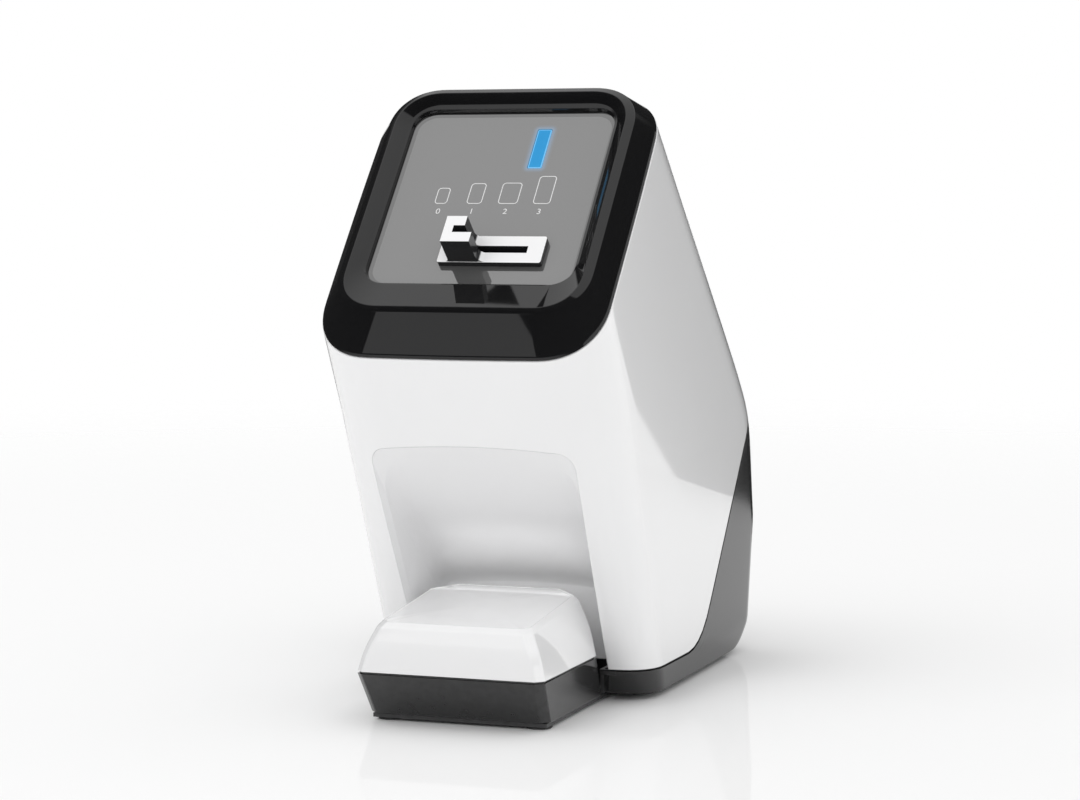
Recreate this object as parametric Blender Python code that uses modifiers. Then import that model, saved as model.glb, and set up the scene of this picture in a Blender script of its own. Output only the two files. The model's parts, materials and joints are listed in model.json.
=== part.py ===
"""Phosphor plate scanner: tilted inlet panel, moulded shells, plate drawer and scan unit.

Metres, +Z up. The scanner stands on its feet at z = 0 and faces -Y. Pieces are placed in two
frames: body_frame, whose origin lies on the floor under the fold between the front face and
the inlet panel, and panel_frame, on that fold, with X across, Y up the panel and Z out of it.
"""

import math

import bmesh
import bpy
from mathutils import Matrix, Vector

MM = 0.001

# Fits
GAP = 0.3 * MM
OVERRUN = 40 * MM
WELD = 0.001 * MM

# Body outline
BODY_HALF_WIDTH = 80 * MM
BODY_DEPTH = 325.3 * MM
FOLD_HEIGHT = 190.8 * MM
PANEL_LENGTH = 181.5 * MM
PANEL_TILT = math.radians(48.7)
FRONT_LEAN = math.radians(28.66)
BODY_BOTTOM = 4 * MM
WALL = 2.6 * MM
FRONT_CROWN = 1.2 * MM
SIDE_BULGE = 0.9 * MM
BACK_CROWN = 3.5 * MM
FRONT_CORNER_TOP = 33.5 * MM
FRONT_CORNER_FOOT = 20 * MM
FRONT_CORNER_TOP_HEIGHT = 160 * MM
FRONT_CORNER_FOOT_HEIGHT = 30 * MM
BACK_SLOPE_CORNER = 26 * MM
BACK_CORNER_share = 1.1
REAR_CORNER = 28 * MM
REAR_BLEND = 9.5 * MM
REAR_STRAIGHT_HEIGHT = 80 * MM
REAR_LEAN = math.radians(11.3)
REAR_FOOT_RADIUS = 17 * MM
BAND_TAPER = 3 * MM
BAND_UNDERCUT = math.radians(14)
CORNER_POWER = 2.25

# Seam between the front shell and the rear cover
SEAM_BACK = 63.51 * MM
SEAM_HEIGHT = 19 * MM
SEAM_RADIUS = 53 * MM

# Bezel and glass
BEZEL_SHADOW_GAP = 0.6 * MM
BEZEL_LIP = 1.4 * MM
BEZEL_LIP_INSET = 0.2 * MM
BEZEL_LIP_TAPER = 0.8 * MM
BEZEL_HALF_WIDTH = 70.2 * MM
BEZEL_START = 21.6 * MM
BEZEL_END = 177.8 * MM
BEZEL_HEIGHT = 13.3 * MM
BEZEL_CORNER = 28 * MM
CREST_INSET = 4.3 * MM
CREST_RISE = 1.9 * MM
CREASE_HALF_WIDTH = 59.8 * MM
CREASE_START = 42.2 * MM
CREASE_END = 169 * MM
CREASE_HEIGHT = 10.6 * MM
CREASE_CORNER = 17 * MM
WINDOW_HALF_WIDTH = 57.4 * MM
WINDOW_START = 44 * MM
WINDOW_END = 165.4 * MM
WINDOW_CORNER = 12 * MM
GLASS_TOP = 7.7 * MM
GLASS_THICKNESS = 3 * MM
GLASS_MARGIN = 2.8 * MM
BEZEL_WALL = 2.4 * MM
SKIRT_REACH = 3 * MM
SKIRT_WALL = 2 * MM
SKIRT_CLEARANCE = 0.4 * MM

# Status light
LIGHT_CENTRE_X = 18.8 * MM
LIGHT_CENTRE_Y = 139 * MM
LIGHT_WIDTH = 7.8 * MM
LIGHT_LENGTH = 27.6 * MM
LIGHT_CORNER = 1 * MM
BOARD_THICKNESS = 1.6 * MM
LIGHT_BOARD_MARGIN = 5 * MM

# Inlet guide: a low frame round the slot, with a tall edge guide at its left end
SLOT_START = -6.8 * MM
SLOT_END = 29.9 * MM
SLOT_CENTRE_Y = 65.7 * MM
SLOT_WIDTH = 4.6 * MM
INLET_LEFT = -18.6 * MM
INLET_RIGHT = 38.9 * MM
INLET_DEPTH = 17.8 * MM
INLET_HEIGHT = 3.2 * MM
INLET_CORNER = 1.2 * MM
GUIDE_LEFT = -11.9 * MM
GUIDE_FRONT_LEG_END = 4.1 * MM
GUIDE_BACK_LEG_END = -0.7 * MM
GUIDE_HEIGHT = 19.7 * MM
GUIDE_FILLET = 4 * MM
NECK_WALL = 1.5 * MM
NECK_REACH = 5.6 * MM

# Drawer pocket in the front face
POCKET_HALF_WIDTH = 49.5 * MM
POCKET_TOP = 143.4 * MM
POCKET_REAR_Y = 126 * MM
POCKET_REAR_TOP = 61 * MM
POCKET_CROWN = 3.2 * MM
POCKET_CORNER = 10 * MM
POCKET_WALL = 2 * MM
OPENING_HALF_WIDTH = 57 * MM
OPENING_FOOT_HALF_WIDTH = 53.6 * MM
OPENING_RISE = 0.9 * MM
LIP_SETBACK = 0.8 * MM

# Drawer
DRAWER_OVERHANG = 5 * MM
DRAWER_BOTTOM = 4 * MM
DRAWER_SEAM = 28 * MM
DRAWER_HALF_WIDTH = 52 * MM
DRAWER_REAR_Y = 95 * MM
DRAWER_FOOT_HALF_WIDTH = 50 * MM
DRAWER_FOOT_FRONT_Y = 10 * MM
DRAWER_FOOT_REAR_Y = 110 * MM
DRAWER_CORNER = 4 * MM
DRAWER_REAR_CORNER = 12 * MM
CAP_SHOULDER_HALF_WIDTH = 43.4 * MM
CAP_SHOULDER_FRONT_Y = 1.9 * MM
CAP_SHOULDER_REAR_Y = 91 * MM
CAP_SHOULDER_HEIGHT = 50.8 * MM
CAP_BELLY = 1.2 * MM
CAP_TOP_HALF_WIDTH = 40.8 * MM
CAP_TOP_FRONT_Y = 5 * MM
CAP_TOP_REAR_Y = 89 * MM
CAP_TOP_HEIGHT = 53.8 * MM
CAP_TOP_SLOPE = math.radians(6.2)
DRAWER_WALL = 2.2 * MM
DRAWER_MOUTH_HALF_WIDTH = 23 * MM
DRAWER_MOUTH_TOP = 54 * MM
DRAWER_MOUTH_BOTTOM = 33 * MM
PAD_THICKNESS = 2 * MM
PAD_MARGIN = 4 * MM

# Base plate and feet
PLATE_BOTTOM = 1.5 * MM
PLATE_TOP = 3.7 * MM
PLATE_SIDE_MARGIN = 10 * MM
PLATE_FRONT_Y = 120 * MM
PLATE_REAR_MARGIN = 35.3 * MM
PLATE_CORNER = 16 * MM
TONGUE_HALF_WIDTH = 48.5 * MM
TONGUE_FRONT_Y = 12 * MM
FOOT_RADIUS = 7 * MM
FOOT_STEM_RADIUS = 2.4 * MM
FOOT_MARGIN = 1 * MM
SCREW_RADIUS = 1.5 * MM
SCREW_HEAD_RADIUS = 3 * MM
SCREW_HEAD_HEIGHT = 0.8 * MM
SCREW_LENGTH = 7 * MM
SCREW_HEAD_share = 0.8
FRONT_SCREW_Y = 140 * MM
REAR_SCREW_X = 36 * MM
SCREW_MARGIN = 7 * MM
BASE_OPENING_MARGIN = 14 * MM

# Rear ports and vents
PORT_HALF_WIDTH = 42 * MM
PORT_BOTTOM = 27 * MM
PORT_TOP = 55 * MM
PORT_RECESS = 19.3 * MM
PORT_WALL = 2 * MM
PORT_SETBACK = 0.6 * MM
INLET_JACK_X = 27 * MM
INLET_JACK_RADIUS = 6 * MM
INLET_JACK_BORE = 3.4 * MM
INLET_JACK_PIN = 1.1 * MM
DATA_PORT_X = 0 * MM
DATA_PORT_WIDTH = 16 * MM
DATA_PORT_HEIGHT = 13.4 * MM
PORT_PROUD = 2.4 * MM
PORT_BODY_DEPTH = 14 * MM
PORT_FLANGE = 1.6 * MM
SWITCH_X = -26 * MM
SWITCH_WIDTH = 15 * MM
SWITCH_HEIGHT = 21 * MM
SWITCH_RIM = 1.7 * MM
SWITCH_BODY_DEPTH = 9 * MM
ROCKER_CLEARANCE = 0.5 * MM
ROCKER_CREST = 3.4 * MM
ROCKER_TILT = math.radians(7)
ROCKER_PIN_RADIUS = 1.1 * MM
FAN_SIZE = 50 * MM
FAN_DEPTH = 12 * MM
FAN_CENTRE_Z = 94 * MM
FAN_BORE = 22.7 * MM
FAN_HUB_RADIUS = 9 * MM
FAN_BLADE_RADIUS = 21.6 * MM
FAN_BLADE_THICKNESS = 1.2 * MM
FAN_PITCH = math.radians(52)
FAN_BACK = 2 * MM
FAN_BLADES = 7
FAN_CHORD_share = 0.9
VENT_SLOTS = 7
VENT_PITCH = 5.8 * MM
VENT_HEIGHT = 2.8 * MM
VENT_HALF_WIDTH = 20 * MM

# Scan unit, between two side plates under the panel
UNIT_CENTRE_X = (SLOT_START + SLOT_END) / 2
UNIT_INNER_WIDTH = 54.5 * MM
SIDE_PLATE_THICKNESS = 1.5 * MM
UNIT_TOP_DEPTH = 10 * MM
LEG_FRONT_Y = 152 * MM
LEG_REAR_Y = 236 * MM
LEG_SHOULDER_Z = 72 * MM
LEG_FLANGE = 10 * MM
FEED_DEPTH = 25 * MM
EXIT_DEPTH = 100 * MM
ROLLER_RADIUS = 7 * MM
ROLLER_LENGTH = 44 * MM
SHAFT_RADIUS = 2.5 * MM
PINCH_RADIUS = 5 * MM
PINCH_SHAFT_RADIUS = 2 * MM
PINCH_LENGTH = 40 * MM
PATH_CLEARANCE = 0.3 * MM
BUSH_RADIUS = 5 * MM
BUSH_FLANGE_RADIUS = 6.6 * MM
BUSH_FLANGE = 1 * MM
GEAR_TOOTH_SIZE = 1 * MM
GEAR_TIP_share = 0.9
GEAR_ROOT_share = 1.2
ROLLER_GEAR_TEETH = 32
IDLER_TEETH = 43
PINION_TEETH = 12
GEAR_WIDTH = 5 * MM
GEAR_OFFSET = 1.2 * MM
GEAR_BACKLASH = 0.3 * MM
MOTOR_RADIUS = 13 * MM
MOTOR_LENGTH = 27 * MM
MOTOR_SHAFT_RADIUS = 1.5 * MM
MOTOR_SHAFT_REACH = 8 * MM
GUIDE_SHEET = 1 * MM
GUIDE_SHEET_SPACE = 2.4 * MM
GUIDE_SHEET_MARGIN = 3 * MM
SCAN_SLIT_WIDTH = 3.5 * MM
SCAN_SLIT_LENGTH = 42 * MM
SPACER_RADIUS = 3 * MM
SPACER_Y = 87 * MM
SPACER_DEPTH = 17 * MM
SEAL_HALF_LENGTH = 25 * MM
SEAL_HALF_DEPTH = 10 * MM

# Optics
BENCH_DEPTH = 74 * MM
BENCH_THICKNESS = 2 * MM
BENCH_START = 100 * MM
BENCH_END = 166 * MM
POLYGON_Y = 146 * MM
POLYGON_RADIUS = 13 * MM
POLYGON_SIDES = 6
POLYGON_THICKNESS = 6 * MM
POLYGON_MOTOR_RADIUS = 15 * MM
POLYGON_MOTOR_HEIGHT = 5 * MM
POLYGON_MOTOR_TOP_share = 0.8
POLYGON_SHAFT_RADIUS = 1.5 * MM
LASER_RADIUS = 5.5 * MM
LASER_LENGTH = 26 * MM
LASER_X = -19 * MM
LASER_START = 102 * MM
BEAM_DEPTH = 64 * MM
LENS_X = 6 * MM
LENS_Y = 108 * MM
LENS_LENGTH = 34 * MM
LENS_WIDTH = 7 * MM
LENS_HEIGHT = 9 * MM
COLLECTOR_RADIUS = 5 * MM
COLLECTOR_Y = 80 * MM
COLLECTOR_DEPTH = 73 * MM
DETECTOR_RADIUS = 12 * MM
DETECTOR_LENGTH = 38 * MM
DETECTOR_WAIST_share = 0.6
DETECTOR_NECK_share = 0.85
DETECTOR_SOCKET = 4 * MM
LAMP_WIDTH = 8 * MM
LAMP_LENGTH = 14 * MM
LAMP_DEPTH = 125 * MM
LAMP_Y = 79 * MM

# Exit chute
CHUTE_TURN_Y = 30 * MM
CHUTE_DROP = 65 * MM
CHUTE_RADIUS = 38 * MM
CHUTE_END_ANGLE = math.radians(-50)
CHUTE_END_Y = 119 * MM
CHUTE_WIDTH = 42 * MM
CHUTE_SHEET = 1.5 * MM
CHUTE_LIP = 6 * MM
CHUTE_LIP_WALL = 1.5 * MM
CHUTE_STEPS = 9
MOUTH_BOTTOM = 33 * MM
MOUTH_TOP = 54 * MM

# Boards
STANDOFF_RADIUS = 3 * MM
STANDOFF_LENGTH = 10 * MM
BOARD_MARGIN = 4 * MM
BOARD_BOTTOM = 20 * MM
BOARD_TOP = 98 * MM
STANDOFF_MARGIN = 6 * MM
BOARD_CLEARANCE = 2 * MM

# Each fused part: its centre and size along Y and Z as shares of the board, then its height as a
# share of the room between the board and the shell
MAIN_CHIP_shares = [
    (0.42, 0.62, 0.30, 0.26, 0.055),
    (0.20, 0.30, 0.16, 0.14, 0.055),
    (0.66, 0.26, 0.20, 0.12, 0.055),
    (0.86, 0.46, 0.10, 0.34, 0.19),
]
POWER_CHIP_shares = [
    (0.34, 0.60, 0.34, 0.30, 0.68),
    (0.70, 0.34, 0.20, 0.22, 0.78),
    (0.26, 0.22, 0.26, 0.14, 0.42),
]

# Derived sizes
REAR_DROP = FOLD_HEIGHT - REAR_STRAIGHT_HEIGHT
SEAM_DEPTH = BODY_DEPTH * math.sin(PANEL_TILT) + REAR_DROP * math.cos(PANEL_TILT) - SEAM_BACK
FOLD_Y = -(BODY_DEPTH - DRAWER_OVERHANG) / 2
UNIT_HALF_WIDTH = UNIT_INNER_WIDTH / 2
PANEL_ORIGIN = Vector((0, FOLD_Y, FOLD_HEIGHT))
GLASS_BOTTOM = GLASS_TOP - GLASS_THICKNESS
GEAR_X = UNIT_CENTRE_X + UNIT_HALF_WIDTH + SIDE_PLATE_THICKNESS + GEAR_OFFSET + GEAR_WIDTH / 2
ROLLER_Y = SLOT_CENTRE_Y - ROLLER_RADIUS - PATH_CLEARANCE
PINCH_Y = SLOT_CENTRE_Y + PINCH_RADIUS + PATH_CLEARANCE
IDLER_DEPTH = (FEED_DEPTH + EXIT_DEPTH) / 2
CHUTE_TURN_DEPTH = EXIT_DEPTH + CHUTE_DROP
MOTOR_Y = ROLLER_Y - (IDLER_TEETH + PINION_TEETH) * GEAR_TOOTH_SIZE / 2
PORT_CENTRE_Z = (PORT_BOTTOM + PORT_TOP) / 2
PORT_PLATE_Y = BODY_DEPTH - PORT_RECESS
PLATE_HALF_WIDTH = BODY_HALF_WIDTH - PLATE_SIDE_MARGIN
PLATE_REAR_Y = BODY_DEPTH - PLATE_REAR_MARGIN
FRONT_FOOT_X = TONGUE_HALF_WIDTH - FOOT_RADIUS
FRONT_FOOT_Y = TONGUE_FRONT_Y + FOOT_RADIUS + FOOT_MARGIN
REAR_FOOT_X = PLATE_HALF_WIDTH - FOOT_RADIUS - FOOT_MARGIN
REAR_FOOT_Y = PLATE_REAR_Y - PLATE_CORNER - FOOT_MARGIN
FRONT_SCREW_X = PLATE_HALF_WIDTH - SCREW_MARGIN
REAR_SCREW_Y = PLATE_REAR_Y - SCREW_MARGIN
BASE_OPENING_HALF_WIDTH = PLATE_HALF_WIDTH - 2 * SCREW_MARGIN
BASE_OPENING_FRONT_Y = LEG_FRONT_Y - BASE_OPENING_MARGIN
BASE_OPENING_REAR_Y = LEG_REAR_Y + BASE_OPENING_MARGIN
BOARD_FRONT_Y = LEG_FRONT_Y + BOARD_MARGIN
BOARD_REAR_Y = LEG_REAR_Y - BOARD_MARGIN
BODY_REACH_UP = FOLD_HEIGHT + PANEL_LENGTH * math.sin(PANEL_TILT) + OVERRUN / 2

# Points along each stretch of half a body outline
FLAT_POINTS = 2
CORNER_POINTS = 7

ACROSS = (0, math.pi / 2, 0)
SIDEWAYS = (math.pi / 2, 0, math.pi / 2)

for old in list(bpy.context.scene.objects):
    bpy.data.objects.remove(old, do_unlink=True)

parts = bpy.data.collections.new("phosphor_plate_scanner")
cutters = bpy.data.collections.new("cutters")
bpy.context.scene.collection.children.link(parts)
bpy.context.scene.collection.children.link(cutters)
cutters.hide_render = True


def material(name, colour, roughness, metallic=0.0):
    """A Principled surface in one plain colour."""
    made = bpy.data.materials.new(name)
    made.use_nodes = True
    surface = made.node_tree.nodes["Principled BSDF"]
    surface.inputs["Base Color"].default_value = (*colour, 1.0)
    surface.inputs["Roughness"].default_value = roughness
    surface.inputs["Metallic"].default_value = metallic
    return made


def frame(name, location, rotation=(0, 0, 0)):
    """An empty that other objects are placed in."""
    empty = bpy.data.objects.new(name, None)
    empty.location = location
    empty.rotation_euler = rotation
    parts.objects.link(empty)
    return empty


body_frame = frame("body_frame", (0, FOLD_Y, 0))
panel_frame = frame("panel_frame", PANEL_ORIGIN, (PANEL_TILT, 0, 0))


def place(name, mesh, surface, parent, location=(0, 0, 0), rotation=(0, 0, 0)):
    """A visible piece in one of the two frames."""
    made = bpy.data.objects.new(name, mesh)
    made.parent = parent
    made.location = location
    made.rotation_euler = rotation
    mesh.materials.append(surface)
    parts.objects.link(made)
    return made


def tool(name, mesh, parent, location=(0, 0, 0), rotation=(0, 0, 0)):
    """A hidden solid that cuts or joins a piece."""
    made = bpy.data.objects.new(name, mesh)
    made.parent = parent
    made.location = location
    made.rotation_euler = rotation
    made.hide_render = True
    made.display_type = "WIRE"
    cutters.objects.link(made)
    return made


def combine(piece, other, operation):
    """One Boolean step on a piece."""
    step = piece.modifiers.new(operation.lower(), "BOOLEAN")
    step.operation = operation
    step.solver = "EXACT"
    step.object = other


def smooth(mesh, angle=math.radians(35)):
    """Smooth shading that keeps the sharp edges."""
    mesh.shade_smooth()
    mesh.set_sharp_from_angle(angle=angle)
    return mesh


def from_bmesh(bm, name):
    """A mesh from a bmesh, which is freed."""
    mesh = bpy.data.meshes.new(name)
    bm.to_mesh(mesh)
    bm.free()
    return mesh


def box(size, name="box"):
    """A box centred on its origin."""
    bm = bmesh.new()
    bmesh.ops.create_cube(bm, size=1.0, matrix=Matrix.Diagonal((*size, 1.0)))
    return from_bmesh(bm, name)


def rod(radius, length, sides=24, name="rod"):
    """A round bar along Z, centred on its origin."""
    bm = bmesh.new()
    bmesh.ops.create_cone(bm, cap_ends=True, segments=sides, radius1=radius, radius2=radius, depth=length)
    return smooth(from_bmesh(bm, name))


def turned(profile, closed=False, steps=24, name="turned"):
    """A profile of (radius, height) points turned round Z by a Screw modifier."""
    bm = bmesh.new()
    ring = [bm.verts.new((radius, 0, height)) for radius, height in profile]
    for start, end in zip(ring, ring[1:]):
        bm.edges.new((start, end))
    if closed:
        bm.edges.new((ring[-1], ring[0]))
    mesh = from_bmesh(bm, name)
    holder = bpy.data.objects.new("holder", mesh)
    bpy.context.scene.collection.objects.link(holder)
    screw = holder.modifiers.new("turn", "SCREW")
    screw.steps = steps
    screw.render_steps = steps
    screw.use_merge_vertices = True
    screw.merge_threshold = WELD
    screw.use_normal_calculate = True
    made = read_mesh(holder, name)
    bpy.data.objects.remove(holder)
    return smooth(made)


def tube(outer, inner, length, steps=24, name="tube"):
    """A turned ring along Z, centred on its origin."""
    half = length / 2
    return turned([(outer, half), (outer, -half), (inner, -half), (inner, half)], True, steps, name)


def read_mesh(source, name):
    """The evaluated mesh of an object, welded and facing out."""
    bpy.context.view_layer.update()
    graph = bpy.context.evaluated_depsgraph_get()
    raw = bpy.data.meshes.new_from_object(source.evaluated_get(graph))
    bm = bmesh.new()
    bm.from_mesh(raw)
    bpy.data.meshes.remove(raw)
    bmesh.ops.remove_doubles(bm, verts=bm.verts, dist=WELD)
    bmesh.ops.recalc_face_normals(bm, faces=bm.faces)
    return from_bmesh(bm, name)


def slab(loops, thickness, name="slab"):
    """A flat outline with its holes, filled as a 2D curve, in XY and centred on z = 0."""
    curve = bpy.data.curves.new(name, "CURVE")
    curve.dimensions = "2D"
    curve.fill_mode = "BOTH"
    curve.extrude = thickness / 2
    for loop in loops:
        spline = curve.splines.new("POLY")
        spline.points.add(len(loop) - 1)
        for point, (x, y) in zip(spline.points, loop):
            point.co = (x, y, 0, 1)
        spline.use_cyclic_u = True
    holder = bpy.data.objects.new("holder", curve)
    bpy.context.scene.collection.objects.link(holder)
    made = read_mesh(holder, name)
    bpy.data.objects.remove(holder)
    bpy.data.curves.remove(curve)
    return made


def loft(rings, closed=False, name="loft"):
    """A skin over rings of equal length, with its ends filled or, if closed, joined."""
    bm = bmesh.new()
    rows = [[bm.verts.new(point) for point in ring] for ring in rings]
    count = len(rings[0])
    pairs = list(zip(rows, rows[1:]))
    if closed:
        pairs.append((rows[-1], rows[0]))
    else:
        bm.faces.new(rows[0])
        bm.faces.new(rows[-1])
    for low, high in pairs:
        for i in range(count):
            j = (i + 1) % count
            bm.faces.new((low[i], low[j], high[j], high[i]))
    bmesh.ops.recalc_face_normals(bm, faces=bm.faces)
    return smooth(from_bmesh(bm, name))


def circle(centre_x, centre_y, radius, points=20):
    """A round outline."""
    turns = [2 * math.pi * i / points for i in range(points)]
    return [(centre_x + radius * math.cos(a), centre_y + radius * math.sin(a)) for a in turns]


def rectangle(left, right, low, high, corner=0.0, arc_points=4):
    """A rectangle, with round corners if a corner radius is given."""
    if not corner:
        return [(left, low), (right, low), (right, high), (left, high)]
    centres = [
        (right - corner, low + corner, -math.pi / 2),
        (right - corner, high - corner, 0),
        (left + corner, high - corner, math.pi / 2),
        (left + corner, low + corner, math.pi),
    ]
    outline = []
    for x, y, start in centres:
        for i in range(arc_points + 1):
            angle = start + math.pi / 2 * i / arc_points
            outline.append((x + corner * math.cos(angle), y + corner * math.sin(angle)))
    return outline


def corner_points(across, along):
    """A squarish quarter corner, from (0, 0) on one side to (across, along) on the next."""
    points = []
    for i in range(1, CORNER_POINTS + 1):
        angle = math.pi / 2 * i / CORNER_POINTS
        x = across * math.sin(angle) ** (2 / CORNER_POWER)
        y = along * (1 - math.cos(angle) ** (2 / CORNER_POWER))
        points.append((x, y))
    return points


def half_outline(half_width, start, end, first_corner, last_corner):
    """Half a rounded outline, from the middle of its start edge to the middle of its end edge."""
    first_across, first_along = first_corner
    last_across, last_along = last_corner
    points = [((half_width - first_across) * i / FLAT_POINTS, start) for i in range(FLAT_POINTS + 1)]
    for x, y in corner_points(first_across, first_along):
        points.append((half_width - first_across + x, start + y))
    low = start + first_along
    high = end - last_along
    for i in range(1, FLAT_POINTS + 1):
        points.append((half_width, low + (high - low) * i / FLAT_POINTS))
    for x, y in reversed([(0, 0)] + corner_points(last_across, last_along)[:-1]):
        points.append((half_width - last_across + x, end - y))
    for i in range(1, FLAT_POINTS + 1):
        points.append(((half_width - last_across) * (1 - i / FLAT_POINTS), end))
    return points


def both_halves(half):
    """A full ring from half a ring whose ends lie on the middle plane."""
    return list(half) + [(-x, *rest) for x, *rest in reversed(half[1:-1])]


def share_between(low, high, value):
    """How far a value has come from low to high, from 0 to 1."""
    return min(1.0, max(0.0, (value - low) / (high - low)))


def panel_to_side(along, depth):
    """(y, z) in the body frame of a place given along the panel and below it."""
    y = along * math.cos(PANEL_TILT) + depth * math.sin(PANEL_TILT)
    z = FOLD_HEIGHT + along * math.sin(PANEL_TILT) - depth * math.cos(PANEL_TILT)
    return y, z


def front_y(z):
    """The front face at a height."""
    y = (FOLD_HEIGHT - z) * math.tan(FRONT_LEAN)
    if z < SEAM_HEIGHT:
        y += (SEAM_HEIGHT - z) * math.tan(BAND_UNDERCUT)
    return y


def rear_y(z):
    """The sloping back and the rear wall at a height, softly joined."""
    top_y, top_z = panel_to_side(PANEL_LENGTH, 0)
    slope = top_y + (top_z - z) * math.tan(PANEL_TILT)
    wall = BODY_DEPTH - max(0.0, REAR_STRAIGHT_HEIGHT - z) * math.tan(REAR_LEAN)
    near, far = min(slope, wall), max(slope, wall)
    return near - REAR_BLEND * math.log(1 + math.exp((near - far) / REAR_BLEND))


def rear_inside_y(z, inset):
    """The rear skin at a height, set in square to its own slope."""
    step = WELD
    steepness = (rear_y(z + step) - rear_y(z - step)) / (2 * step)
    return rear_y(z) - inset * math.hypot(1, steepness)


def body_half_ring(z, inset=0.0):
    """Half of the body's level outline, set in by a wall thickness."""
    rear = rear_inside_y(z, inset)
    radius = REAR_FOOT_RADIUS - inset
    above = z - BODY_BOTTOM - inset
    if above < radius:
        rear -= radius - math.sqrt(max(0.0, radius**2 - (radius - above) ** 2))
    half_width = BODY_HALF_WIDTH - inset - BAND_TAPER * (1 - share_between(BODY_BOTTOM, SEAM_HEIGHT, z))
    grown = share_between(FRONT_CORNER_FOOT_HEIGHT, FRONT_CORNER_TOP_HEIGHT, z)
    front_corner = FRONT_CORNER_FOOT + (FRONT_CORNER_TOP - FRONT_CORNER_FOOT) * grown - inset
    sloped = share_between(REAR_STRAIGHT_HEIGHT, FRONT_CORNER_TOP_HEIGHT, z)
    across = REAR_CORNER + (BACK_SLOPE_CORNER - REAR_CORNER) * sloped - inset
    along = across * (1 + sloped * (BACK_CORNER_share / math.cos(PANEL_TILT) - 1))
    front = front_y(z) + inset / math.cos(FRONT_LEAN)
    corner = (front_corner, front_corner / math.cos(FRONT_LEAN))
    half = half_outline(half_width, front, rear, corner, (across, along))
    ring = []
    for x, y in half:
        across_share = x / half_width
        along_share = (2 * y - front - rear) / (rear - front)
        crown = FRONT_CROWN if along_share < 0 else -BACK_CROWN * sloped
        ring.append((x - SIDE_BULGE * across_share * along_share**2, y + crown * across_share**2, z))
    return ring


def body_levels(inset):
    """Heights of the body's rings: close where it curves."""
    radius = REAR_FOOT_RADIUS - inset
    turns = [math.pi / 2 * i / 5 for i in range(6)]
    low = [BODY_BOTTOM + inset + radius * (1 - math.cos(turn)) for turn in turns]
    shoulder = panel_to_side(PANEL_LENGTH, SEAM_DEPTH)[1]
    start = low[-1]
    spread = 2 * REAR_BLEND
    middle = [start + (shoulder - spread - start) * i / 4 for i in (1, 2, 3)]
    curved = [shoulder + spread * i / 3 for i in (-3, -2, -1, 0, 1, 2)]
    return low + middle + curved + [FOLD_HEIGHT, FOLD_HEIGHT + PANEL_LENGTH / 3, BODY_REACH_UP]


def body_loft(inset, name):
    """The whole body's outer form, set in by a wall thickness."""
    return loft([both_halves(body_half_ring(z, inset)) for z in body_levels(inset)], name=name)


def body_panel_ring(height, inset=0.0):
    """The body's outline in a plane parallel to the panel, as (x, along, height) points."""
    count = len(body_half_ring(FOLD_HEIGHT))

    def above(index, z):
        x, y, _ = body_half_ring(z, inset)[index]
        rise = (z - FOLD_HEIGHT) * math.cos(PANEL_TILT) - y * math.sin(PANEL_TILT) - height
        return rise, x, y

    ring = []
    for index in range(count):
        low, high = BODY_BOTTOM + REAR_FOOT_RADIUS, BODY_REACH_UP
        for _ in range(40):
            middle = (low + high) / 2
            if above(index, middle)[0] > 0:
                high = middle
            else:
                low = middle
        _, x, y = above(index, low)
        along = y * math.cos(PANEL_TILT) + (low - FOLD_HEIGHT) * math.sin(PANEL_TILT)
        ring.append((x, along, height))
    return both_halves(ring)


def panel_ring(half_width, start, end, corner, height):
    """A rounded outline in the panel's frame."""
    half = half_outline(half_width, start, end, (corner, corner), (corner, corner))
    return both_halves([(x, y, height) for x, y in half])


def seam_line(gap):
    """The shell's lower seam in side view, from the front round to the rear, moved down by a gap."""
    depth = SEAM_DEPTH + gap
    height = SEAM_HEIGHT - gap
    radius = SEAM_RADIUS + gap
    fall = (FOLD_HEIGHT - height - depth * math.cos(PANEL_TILT)) / math.sin(PANEL_TILT)
    corner_y = panel_to_side(-fall, depth)[0]
    reach = radius * math.tan(PANEL_TILT / 2)
    centre_y, centre_z = corner_y - reach, height + radius
    points = [(-OVERRUN, height)]
    for i in range(9):
        angle = PANEL_TILT * i / 8
        points.append((centre_y + radius * math.sin(angle), centre_z - radius * math.cos(angle)))
    points.append(panel_to_side(PANEL_LENGTH + OVERRUN, depth))
    return points


def shell_region():
    """The side view of all that lies between the panel plane and the lower seam."""
    top = [panel_to_side(PANEL_LENGTH + OVERRUN, 0), panel_to_side(-OVERRUN, 0)]
    return seam_line(0.0) + top


def cover_region():
    """The side view of all that lies below the lower seam."""
    return seam_line(GAP) + [(BODY_DEPTH + OVERRUN, -OVERRUN), (-OVERRUN, -OVERRUN)]


def side_solid(outline, half_width, name):
    """A side view drawn out across the whole width."""
    return slab([outline], 2 * half_width, name)


def arch_ring(y, half_width, foot_half_width, top, foot, grow=0.0):
    """An arched outline in a plane across the body, with a crowned top and squarish corners."""
    wide = half_width + grow
    corner = POCKET_CORNER + grow
    crown = POCKET_CROWN * (1 - corner / wide) ** 2
    points = [(0.0, top + grow)]
    for i in range(1, FLAT_POINTS + 1):
        x = (wide - corner) * i / FLAT_POINTS
        points.append((x, top + grow - POCKET_CROWN * (x / wide) ** 2))
    for x, fall in corner_points(corner, corner):
        points.append((wide - corner + x, top + grow - crown - fall))
    points.append((foot_half_width + grow, foot))
    right = [(x, y, z) for x, z in points]
    left = [(-x, y, z) for x, z in reversed(points[1:])]
    return right + left


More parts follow.
